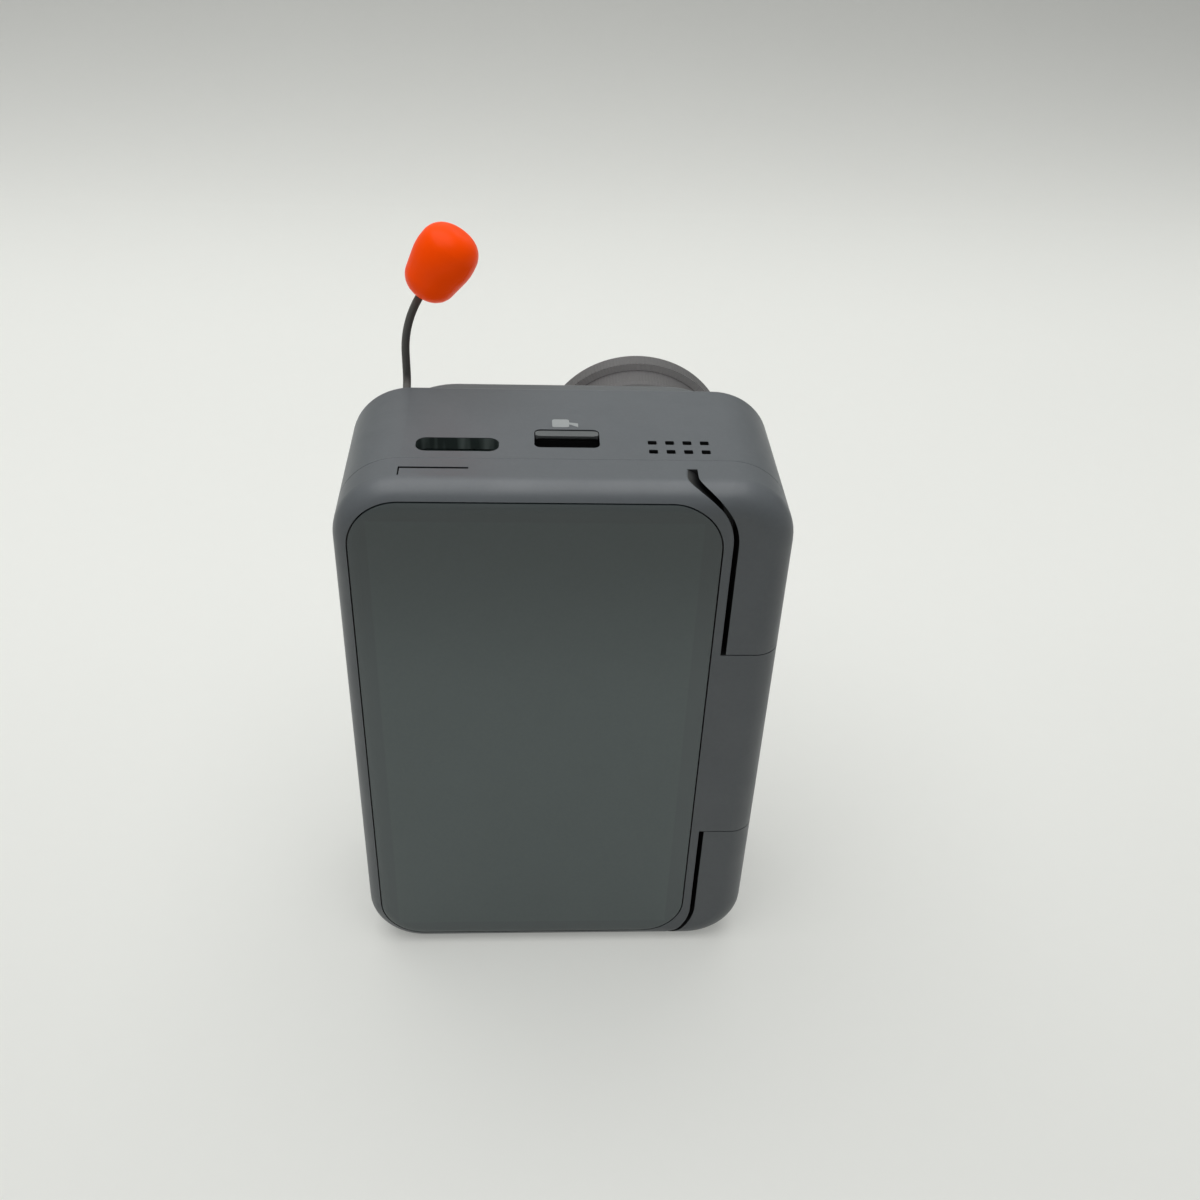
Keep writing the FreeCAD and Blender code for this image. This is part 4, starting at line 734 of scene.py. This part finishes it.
# Drawn, pressed and blackened steels of the pin, the cans, the strike plates, the screws and the port.
STEEL = Finish("stainless_steel_drawn", "#B9BABB", 0.3, metallic=1.0, grain=Grain.DRAWN, grain_mm=0.08,
               relief_mm=0.002)
STRIKE_STEEL = replace(STEEL, name="spring_steel_plate_pressed", colour="#707274", roughness=0.42,
                       grain_mm=0.12, relief_mm=0.004)
BLACK_STEEL = Finish("steel_screw_black_oxide", "#26282B", 0.42, metallic=1.0, grain_mm=0.08, relief_mm=0.002)
PORT_STEEL = replace(STEEL, name="stainless_steel_port_drawn_blackened", colour="#4C5655")
# The port's tongue, moulded round its contacts in a grey polymer.
TONGUE = Finish("liquid_crystal_polymer_tongue_moulded", "#8A9694", 0.45, grain_mm=0.1, relief_mm=0.003)
# Turned brass, gold over copper, nickel over magnet and pressed foil: bright metals inside.
BRASS = Finish("brass_bush_turned", "#C8A45A", 0.3, metallic=1.0, grain=Grain.DRAWN, grain_mm=0.1,
               relief_mm=0.002)
GOLD = Finish("copper_contact_gold_plated", "#E3B560", 0.22, metallic=1.0, grain_mm=0.08, relief_mm=0.001)
NICKEL = Finish("neodymium_magnet_nickel_plated", "#B4B3AE", 0.24, metallic=1.0, grain_mm=0.3,
                relief_mm=0.002)
FOIL = Finish("aluminium_pouch_foil_pressed", "#A9ABAD", 0.34, metallic=1.0, grain_mm=0.6, relief_mm=0.02)
# Die-cut foam tape under the glass, and the boards in their green mask.
TAPE = Finish("acrylic_foam_tape_die_cut", "#121213", 0.75, grain_mm=0.1)
MASK = CircuitBoard("epoxy_board_solder_masked_green", "#12402A", 0.3, grain_mm=0.4, relief_mm=0.02)
# Woven cloth that keeps dust out of the speaker, behind its holes.
SPEAKER_CLOTH = Finish("polyester_cloth_woven_black", "#0C0C0D", 0.8, grain=Grain.WOVEN, grain_mm=0.12,
                       relief_mm=0.05)
# The sensor under its filter, the clear pipe of the status light and the display's dark layers.
SENSOR = Finish("silicon_sensor_filtered_glossy", "#1D2B33", 0.08, grain=Grain.POLISHED, coat=1.0)
LIGHT_PIPE = Finish("acrylic_light_pipe_moulded", "#C9D2D2", 0.2, ior=1.49, grain_mm=0.2, relief_mm=0.002)
PANEL = Finish("display_stack_laminated", "#0E1012", 0.3, grain=Grain.POLISHED, coat=0.5)
# Pad-printed ink, which stands a little proud of the paint.
PRINT = Finish("pad_printed_ink_pale_grey", "#9FA4A4", 0.6, grain_mm=0.08, relief_mm=0.002, drift=0.05,
               drift_mm=1.0)
# Ground and coated optical glass.
GUARD_GLASS = LensGlass("optical_glass_guard_coated", "#F4F8F8", 0.02, grain=Grain.POLISHED, drift=0.0,
                        gloss_drift=0.01)
ELEMENT_GLASS = replace(GUARD_GLASS, name="optical_glass_element_coated", colour="#EAF2F4", ior=1.62,
                        coating_nm=160.0)


def deselect() -> None:
    """Leaves edit mode and deselects everything."""
    if bpy.context.object and bpy.context.object.mode == "EDIT":
        bpy.ops.object.mode_set(mode="OBJECT")
    bpy.ops.object.select_all(action="DESELECT")


def pick(thing: Thing) -> Thing:
    """Selects one object alone and makes it active.

    Args:
        thing: The object.

    Returns:
        The same object.
    """
    deselect()
    thing.select_set(True)
    bpy.context.view_layer.objects.active = thing
    return thing


def select_parts(thing: Thing, kind: str, test: PartTest) -> None:
    """Selects faces or edges of the object in edit mode by their place or direction.

    Args:
        thing: The active object, in edit mode.
        kind: "faces" or "edges".
        test: Called with the part's middle and its normal or direction.
    """
    mesh = bmesh.from_edit_mesh(thing.data)
    for part in list(mesh.verts) + list(mesh.edges) + list(mesh.faces):
        part.select = False
    for part in getattr(mesh, kind):
        ends = [vertex.co for vertex in part.verts]
        middle = sum(ends, Vector()) / len(ends)
        direction = part.normal if kind == "faces" else (ends[1] - ends[0]).normalized()
        if test(middle, direction):
            part.select_set(True)
    mesh.select_flush_mode()
    bmesh.update_edit_mesh(thing.data)


def edit(thing: Thing, kind: str) -> None:
    """Enters edit mode on the object with faces or edges as what is selected.

    Args:
        thing: The object.
        kind: "faces" or "edges".
    """
    pick(thing)
    bpy.ops.object.mode_set(mode="EDIT")
    bpy.ops.mesh.select_mode(type="FACE" if kind == "faces" else "EDGE")


def lies_upright(middle: Vector, direction: Vector) -> bool:
    """Tells whether an edge stands along Z."""
    return abs(direction.z) > ALONG


def block(place: Vector, size: Triple) -> Thing:
    """Adds a small block.

    Args:
        place: Its middle.
        size: Its length on each axis.

    Returns:
        The block, with its size in its mesh.
    """
    bpy.ops.mesh.primitive_cube_add(size=1, location=place, scale=size)
    made = bpy.context.object
    bpy.ops.object.transform_apply(location=False, rotation=False, scale=True)
    return made


def round_edges(thing: Thing, test: PartTest, radius: float, segments: int) -> None:
    """Rounds the edges that the test names.

    Args:
        thing: The object.
        test: Called with the edge's middle and its direction.
        radius: How far the rounding reaches.
        segments: The number of its steps.
    """
    edit(thing, "edges")
    select_parts(thing, "edges", test)
    bpy.ops.mesh.bevel(offset=radius, segments=segments)
    bpy.ops.object.mode_set(mode="OBJECT")


def settle(thing: Thing, name: str, finish: Finish, body: str) -> None:
    """Finishes a new piece: its place goes into its mesh and it rides on its body.

    Args:
        thing: The modelled object.
        name: The piece's name.
        finish: Its surface.
        body: The body that carries it.
    """
    pick(thing)
    bpy.ops.object.transform_apply(location=True, rotation=True, scale=True)
    edit(thing, "faces")
    bpy.ops.mesh.select_all(action="SELECT")
    bpy.ops.mesh.remove_doubles(threshold=MERGE_DISTANCE)
    bpy.ops.mesh.normals_make_consistent(inside=False)
    bpy.ops.object.mode_set(mode="OBJECT")
    bpy.ops.object.shade_smooth_by_angle(angle=SMOOTH_ANGLE)
    thing.name = name
    thing.data.name = name
    thing.data.materials.clear()
    thing.data.materials.append(finish.build())
    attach(thing, body)
    log.info("%s: %d faces on %s", name, len(thing.data.polygons), body)


def apply_modifiers(thing: Thing) -> None:
    """Applies the object's modifiers in their order.

    Args:
        thing: The object.
    """
    pick(thing)
    for modifier in list(thing.modifiers):
        bpy.ops.object.modifier_apply(modifier=modifier.name)


def join(pieces: Iterable[Thing]) -> Thing:
    """Joins objects into the first one.

    Args:
        pieces: The objects.

    Returns:
        The joined object.
    """
    pieces = list(pieces)
    pick(pieces[0])
    for thing in pieces:
        thing.select_set(True)
    bpy.ops.object.join()
    return bpy.context.object


def copied(thing: Thing, offsets: Iterable[Vector]) -> list[Thing]:
    """Copies an object with its own mesh to each offset from the first.

    Args:
        thing: The object modelled once, at the first place.
        offsets: Moves from that place for each copy.

    Returns:
        The first object and its copies.
    """
    made = [thing]
    for offset in offsets:
        twin = thing.copy()
        twin.data = thing.data.copy()
        twin.location = thing.location + offset
        bpy.context.scene.collection.objects.link(twin)
        made.append(twin)
    return made


@dataclass
class SubAssembly:
    """A group of CAD nodes with their finishes, and the small pieces added to them."""

    finishes: dict[str, Finish] = field(default_factory=dict)

    def dress(self) -> None:
        """Gives each CAD node of the group its finish."""
        for name, finish in self.finishes.items():
            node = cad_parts[name]
            node.data.materials.clear()
            node.data.materials.append(finish.build())
            log.info("%s: %s", name, finish.name)

    def detail(self) -> None:
        """Builds the group's added pieces, where it has any."""

    def build(self) -> None:
        """Dresses the group and adds its pieces."""
        self.dress()
        self.detail()


@dataclass
class PodShell(SubAssembly):
    """The pod's moulded housing and rear plate with the screws that join them."""

    finishes: dict[str, Finish] = field(default_factory=lambda: {
        "pod_housing": SHELL, "pod_rear_plate": SHELL, "pod_screws": BLACK_STEEL, "hinge_pin": STEEL,
        "display_wire": SLEEVE, "main_board": MASK, "pod_battery": FOIL, "microphone": STEEL,
        "side_switch_board": MASK, "base_switch_board": MASK, "shutter_switch": INNER_PLASTIC,
        "base_switches": INNER_PLASTIC, "bay_contact_block": INNER_PLASTIC, "bay_contact_pins": GOLD,
        "bay_magnets": NICKEL,
    })
    lobes: int = 6
    lobe_radius_mm: float = 0.272
    lobe_reach_mm: float = 0.418
    lobe_sides: int = 16
    core_radius_mm: float = 0.576
    core_sides: int = 24
    recess_depth_mm: float = 0.45
    edge_mm: float = 0.12
    edge_steps: int = 3
    head_height_mm: float = 0.8
    head_sides: int = 40
    screw_reach_mm: float = 4.0

    def detail(self) -> None:
        """Models one screw with its six-lobe recess and copies it to every screw's place."""
        low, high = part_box("pod_screws")
        places, head_radius, shank_radius = self.measure_screws(low)
        head_height = self.head_height_mm * MM
        bpy.ops.mesh.primitive_cylinder_add(
            vertices=self.head_sides, radius=head_radius, depth=head_height, rotation=(math.pi / 2, 0, 0),
            location=places[0] + Vector((0, head_height / 2, 0)))
        screw = bpy.context.object
        bpy.ops.object.transform_apply(location=False, rotation=True, scale=True)
        edit(screw, "faces")
        select_parts(screw, "faces", lambda middle, normal: normal.y > ALONG)
        bpy.ops.mesh.inset(thickness=head_radius - shank_radius, depth=0)
        shank_length = high.y - low.y - head_height
        bpy.ops.mesh.extrude_region_move(TRANSFORM_OT_translate={"value": (0, shank_length, 0)})
        rim = -head_height / 2
        round_edges(
            screw, lambda middle, direction: abs(middle.y - rim) < SAME_PLACE and abs(direction.y) < ACROSS,
            self.edge_mm * MM, self.edge_steps)
        self.cut_recess(screw, places[0])
        screws = join(copied(screw, [place - places[0] for place in places[1:]]))
        settle(screws, "pod_screws_six_lobe", BLACK_STEEL, "pod")
        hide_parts("pod_screws")

    def measure_screws(self, low: Vector) -> tuple[list[Vector], float, float]:
        """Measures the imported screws: each loose solid gives one place.

        Args:
            low: The lowest corner of the screws' box.

        Returns:
            The middles of the heads' rear faces, the head's radius and the shank's radius.
        """
        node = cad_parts["pod_screws"]
        spots: list[list[Vector]] = []
        for vertex in node.data.vertices:
            near = next((spot for spot in spots if self.is_near(spot[0], vertex.co)), None)
            if near is None:
                spots.append([vertex.co.copy()])
            else:
                near.append(vertex.co.copy())
        places = []
        for spot in spots:
            xs = [co.x for co in spot]
            zs = [co.z for co in spot]
            places.append(Vector(((min(xs) + max(xs)) / 2, low.y, (min(zs) + max(zs)) / 2)))
        first = places[0]
        reach = [math.hypot(co.x - first.x, co.z - first.z) for co in spots[0]]
        tip = max(co.y for co in spots[0])
        shank = [r for r, co in zip(reach, spots[0]) if abs(co.y - tip) < SAME_PLACE]
        return places, max(reach), max(shank)

    def is_near(self, one: Vector, other: Vector) -> bool:
        """Tells whether two points belong to the same screw, seen along Y."""
        return math.hypot(one.x - other.x, one.z - other.z) < self.screw_reach_mm * MM

    def cut_recess(self, screw: Thing, place: Vector) -> None:
        """Cuts the recess into the head: a round core with six lobes about it.

        Args:
            screw: The screw's object.
            place: The middle of its head's rear face.
        """
        cutters = [self.add_cutter(place, self.core_radius_mm, self.core_sides)]
        for lobe in range(self.lobes):
            angle = 2 * math.pi * lobe / self.lobes
            offset = Vector((math.cos(angle), 0, math.sin(angle))) * self.lobe_reach_mm * MM
            cutters.append(self.add_cutter(place + offset, self.lobe_radius_mm, self.lobe_sides))
        for cutter in cutters:
            modifier = screw.modifiers.new("recess", "BOOLEAN")
            modifier.operation = "DIFFERENCE"
            modifier.object = cutter
        apply_modifiers(screw)
        for cutter in cutters:
            bpy.data.objects.remove(cutter)

    def add_cutter(self, place: Vector, radius_mm: float, sides: int) -> Thing:
        """Adds a round cutter along Y that reaches as deep as the recess.

        Args:
            place: Where its axis meets the head's rear face.
            radius_mm: Its radius.
            sides: The number of its sides.

        Returns:
            The cutter.
        """
        bpy.ops.mesh.primitive_cylinder_add(
            vertices=sides, radius=radius_mm * MM, depth=self.recess_depth_mm * MM * 2,
            rotation=(math.pi / 2, 0, 0), location=place)
        return bpy.context.object


@dataclass
class ScreenModule(SubAssembly):
    """The flip-up screen: frame, cover glass over a display that is off, and its cover."""

    def dress(self) -> None:
        """Dresses the screen, with the display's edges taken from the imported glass."""
        low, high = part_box("display_panel")
        glass = DisplayGlass(
            "aluminosilicate_cover_glass_polished", "#636F6F", 0.2, ior=1.51, grain=Grain.POLISHED,
            drift=0.04, drift_mm=16.0, gloss_drift=0.05, border_colour="#606A6B",
            low=(low.x, low.z), high=(high.x, high.z))
        self.finishes = {
            "screen_frame": SCREEN_SHELL, "screen_back_cover": SHELL, "screen_glass": glass,
            "glass_tape": TAPE, "display_panel": PANEL, "screen_board": MASK, "hinge_bushes": BRASS,
        }
        super().dress()


@dataclass
class PortEnd(SubAssembly):
    """The end face: port, camera release, speaker and the printed camera sign."""

    finishes: dict[str, Finish] = field(default_factory=lambda: {
        "usb_receptacle": PORT_STEEL, "usb_tongue": TONGUE, "release_button": RELEASE,
        "latch_nose": INNER_PLASTIC, "speaker": SPEAKER_CLOTH,
    })
    ink_mm: float = 0.03
    sign_length_mm: float = 1.8
    sign_width_mm: float = 1.7
    sign_corner_mm: float = 0.272
    sign_corner_steps: int = 4
    sign_x_mm: float = -0.4
    sign_y_mm: float = 2.6
    wedge_reach_mm: float = 0.95
    wedge_mouth_mm: float = 0.8
    wedge_drop_mm: float = 0.4
    wedge_taper: float = 0.5
    contact_count: int = 12
    contact_pitch_mm: float = 0.5
    contact_width_mm: float = 0.26
    contact_length_mm: float = 2.2
    contact_rise_mm: float = 0.04
    contact_sunk_mm: float = 0.01
    contact_setback_mm: float = 0.24
    contact_edge_mm: float = 0.008
    contact_edge_steps: int = 2

    def detail(self) -> None:
        """Adds the printed sign and the port's plated contacts."""
        self.make_sign()
        self.make_contacts()

    def make_sign(self) -> None:
        """Prints the small camera sign beside the release: a rounded body with its lens wedge."""
        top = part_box("pod_housing")[1].z
        ink = self.ink_mm * MM
        length = self.sign_length_mm * MM
        place = Vector((self.sign_x_mm * MM, self.sign_y_mm * MM, top + ink / 2))
        body = block(place, (length, self.sign_width_mm * MM, ink))
        round_edges(body, lies_upright, self.sign_corner_mm * MM, self.sign_corner_steps)
        reach = self.wedge_reach_mm * MM
        drop = self.wedge_drop_mm * MM
        mouth = self.wedge_mouth_mm * MM
        wedge = block(place + Vector(((length + reach) / 2, -drop, 0)), (reach, mouth, ink))
        edit(wedge, "faces")
        select_parts(wedge, "faces", lambda middle, normal: normal.x < -ALONG)
        bpy.ops.transform.resize(value=(1, self.wedge_taper, 1))
        bpy.ops.transform.translate(value=(0, drop, 0))
        bpy.ops.object.mode_set(mode="OBJECT")
        settle(join([body, wedge]), "camera_release_sign", PRINT, "pod")

    def make_contacts(self) -> None:
        """Lays the plated contacts on both faces of the port's tongue, sunk a little into it."""
        low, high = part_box("usb_tongue")
        rise = self.contact_rise_mm * MM
        sunk = self.contact_sunk_mm * MM
        length = self.contact_length_mm * MM
        pitch = self.contact_pitch_mm * MM
        first_x = (low.x + high.x) / 2 - pitch * (self.contact_count - 1) / 2
        first_z = high.z - length / 2 - self.contact_setback_mm * MM
        place = Vector((first_x, low.y - rise / 2 + sunk, first_z))
        pad = block(place, (self.contact_width_mm * MM, rise, length))
        round_edges(pad, lambda middle, direction: abs(direction.y) < ACROSS,
                    self.contact_edge_mm * MM, self.contact_edge_steps)
        far = Vector((0, high.y - low.y + rise - sunk * 2, 0))
        offsets = [Vector((pitch * i, 0, 0)) for i in range(1, self.contact_count)]
        offsets += [far + Vector((pitch * i, 0, 0)) for i in range(self.contact_count)]
        settle(join(copied(pad, offsets)), "port_contacts", GOLD, "pod")


@dataclass
class ButtonGroup(SubAssembly):
    """The press buttons on the hinge side and on the base."""

    finishes: dict[str, Finish] = field(default_factory=lambda: {
        "shutter_button": BUTTON, "power_button": BUTTON, "quick_button": BUTTON,
    })
    mark_radius_mm: float = 0.75
    mark_width_mm: float = 0.16
    mark_gap_degrees: float = 70.0
    mark_steps: int = 40
    bar_length_mm: float = 0.675
    bar_sunk_mm: float = 0.16875
    bar_corner_mm: float = 0.064
    bar_corner_steps: int = 3
    ink_mm: float = 0.02

    def detail(self) -> None:
        """Prints the usual on-and-off sign on the power button: an open ring with a bar in its gap."""
        low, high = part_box("power_button")
        centre = Vector(((low.x + high.x) / 2, (low.y + high.y) / 2, low.z))
        radius = self.mark_radius_mm * MM
        width = self.mark_width_mm * MM
        ink = self.ink_mm * MM
        start = Vector((0, radius, 0))
        start.rotate(Matrix.Rotation(math.radians(self.mark_gap_degrees / 2), 3, "Z"))
        ring = block(centre + start, (width / 2, width, ink))
        bpy.ops.object.transform_apply(location=True, rotation=False, scale=False)
        edit(ring, "faces")
        select_parts(ring, "faces", lambda middle, normal: normal.x < -ALONG)
        bpy.ops.mesh.spin(steps=self.mark_steps, dupli=False, angle=math.radians(360 - self.mark_gap_degrees),
                          center=centre, axis=(0, 0, 1))
        bpy.ops.object.mode_set(mode="OBJECT")
        top = Vector((0, radius - self.bar_sunk_mm * MM, 0))
        bar = block(centre + top, (width, self.bar_length_mm * MM, ink))
        round_edges(bar, lies_upright, self.bar_corner_mm * MM, self.bar_corner_steps)
        settle(join([bar, ring]), "power_sign", PRINT, "power")


@dataclass
class CameraModule(SubAssembly):
    """The square camera with its lens, its front button and all inside it."""

    finishes: dict[str, Finish] = field(default_factory=lambda: {
        "camera_rear_shell": CAMERA_SHELL, "camera_front_shell": TURRET_SHELL, "camera_button": CAMERA_SHELL,
        "lens_barrel": BARREL, "front_lens_element": ELEMENT_GLASS, "inner_lens_elements": ELEMENT_GLASS,
        "image_sensor": SENSOR, "sensor_board": MASK, "sensor_connector": INNER_PLASTIC, "camera_board": MASK,
        "camera_battery": FOIL, "camera_magnets": NICKEL, "camera_contacts": GOLD, "status_light": LIGHT_PIPE,
        "camera_switch": STEEL, "lens_guard_ring": GUARD, "lens_guard_glass": GUARD_GLASS,
    })


@dataclass
class Tether(SubAssembly):
    """The ferrule, the sprung stalk and the bead, and the magnets of the mount side."""

    finishes: dict[str, Finish] = field(default_factory=lambda: {
        "tether_ferrule": FERRULE, "tether_stalk": SLEEVE, "tether_bead": ORANGE, "mount_magnets": NICKEL,
        "mount_strike_plates": STRIKE_STEEL,
    })


@dataclass(frozen=True)
class SoftLight:
    """A square area light: where it hangs, how wide it is and its power in watts."""

    name: str
    place: Triple
    size: float
    power: float

    def build(self, target: Triple) -> None:
        """Adds the light and points it at the target.

        Args:
            target: The place that it points at.
        """
        deselect()
        aim = Vector(target) - Vector(self.place)
        turn = aim.to_track_quat("-Z", "Y").to_euler()
        bpy.ops.object.light_add(type="AREA", location=self.place, rotation=turn)
        lamp = bpy.context.object
        lamp.name = self.name
        lamp.data.size = self.size
        lamp.data.energy = self.power


@dataclass
class Studio:
    """The pale floor that sweeps up into a backdrop, the soft lights and the camera."""

    floor_colour: str = "#C9CAC6"
    air_colour: str = "#ECEDEB"
    air_light: float = 0.04
    air_paleness: float = 0.75
    paper_stops: tuple[Pair, ...] = (
        (-0.05, 0.45), (0.08, 0.58), (0.16, 0.57), (0.46, 0.0), (0.56, 0.0), (0.7, 0.5))
    lights: tuple[SoftLight, ...] = (
        SoftLight("overhead", (-0.06, 0.0, 0.7), 0.8, 4.95),
        SoftLight("behind_camera", (-0.25, -0.7, 0.3), 0.6, 0.03))
    light_target: Triple = (0.0, 0.0, 0.04)
    sweep_start: float = 0.26
    sweep_height: float = 0.5
    sweep_radius: float = 0.16
    sweep_steps: int = 24
    sweep_tolerance: float = 1e-4
    half_width: float = 1.2
    near_reach: float = 0.9
    camera_place_mm: Triple = (-3.808, -116.692, 133.779)
    camera_right: Triple = (0.99837, -0.04313, 0.03737)
    camera_up: Triple = (-0.00428, 0.59649, 0.80261)
    focal_pixels: float = 1267.7
    frame_pixels: float = 1200.0
    sensor_mm: float = 36.0
    near_clip: float = 0.005

    def build(self) -> None:
        """Sets the view transform and builds floor, lights, world and camera."""
        bpy.context.scene.view_settings.view_transform = "Standard"
        self.make_floor()
        self.make_world()
        self.make_lights()
        self.make_camera()

    def make_floor(self) -> None:
        """Draws the floor, extrudes its far edge up and rounds the corner into a sweep."""
        deselect()
        depth = self.near_reach + self.sweep_start
        bpy.ops.mesh.primitive_plane_add(size=1, location=(0, (self.sweep_start - self.near_reach) / 2, 0))
        floor = bpy.context.object
        floor.scale = (self.half_width * 2, depth, 1)
        bpy.ops.object.transform_apply(location=True, rotation=False, scale=True)
        edit(floor, "edges")
        select_parts(floor, "edges", lambda middle, direction: self.meets(middle.y, self.sweep_start))
        bpy.ops.mesh.extrude_region_move(TRANSFORM_OT_translate={"value": (0, self.sweep_radius, 0)})
        bpy.ops.mesh.extrude_region_move(TRANSFORM_OT_translate={"value": (0, 0, self.sweep_height)})
        corner = self.sweep_start + self.sweep_radius
        round_edges(
            floor, lambda middle, direction: self.meets(middle.y, corner) and self.meets(middle.z, 0.0),
            self.sweep_radius, self.sweep_steps)
        bpy.ops.object.shade_smooth()
        floor.name = "studio_floor"
        paper = BackdropPaper(
            "backdrop_paper_matt_pale", self.floor_colour, 0.9, grain_mm=1.2, relief_mm=0.01,
            drift=0.008, drift_mm=60.0, gloss_drift=0.02, stops=self.paper_stops)
        floor.data.materials.append(paper.build())

    def meets(self, one: float, other: float) -> bool:
        """Tells whether two places on the sheet are the same."""
        return abs(one - other) < self.sweep_tolerance

    def make_world(self) -> None:
        """Lights the object faintly from all round, and looks pale to the camera and in reflections."""
        world = bpy.data.worlds.new("studio_air")
        bpy.context.scene.world = world
        world.use_nodes = True
        tree = world.node_tree
        tree.nodes.clear()
        seen = seen_directly(tree)
        level = add(tree, "ShaderNodeMapRange", [seen, 0.0, 1.0, self.air_light, self.air_paleness])
        background = add(tree, "ShaderNodeBackground", [linear(self.air_colour), level])
        add(tree, "ShaderNodeOutputWorld", {"Surface": background})

    def make_lights(self) -> None:
        """Hangs one broad light overhead, a little to the left, and a much weaker one behind the camera."""
        for light in self.lights:
            light.build(self.light_target)

    def make_camera(self) -> None:
        """Puts the camera where the photograph was taken from."""
        deselect()
        bpy.ops.object.camera_add()
        camera = bpy.context.object
        camera.name = "photograph_view"
        right = Vector(self.camera_right).normalized()
        up = Vector(self.camera_up).normalized()
        turn = Matrix((right, up, right.cross(up))).transposed().to_4x4()
        camera.matrix_world = Matrix.Translation(Vector(self.camera_place_mm) * MM) @ turn
        camera.data.sensor_width = self.sensor_mm
        camera.data.lens = self.sensor_mm * self.focal_pixels / self.frame_pixels
        camera.data.clip_start = self.near_clip
        camera.data.dof.use_dof = False
        bpy.context.scene.camera = camera


def main() -> None:
    logging.basicConfig(level=logging.INFO, format="%(name)s %(message)s")
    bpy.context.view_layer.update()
    for group in (PodShell(), ScreenModule(), PortEnd(), ButtonGroup(), CameraModule(), Tether()):
        deselect()
        group.build()
    Studio().build()
    deselect()


if __name__ == "__main__":
    main()
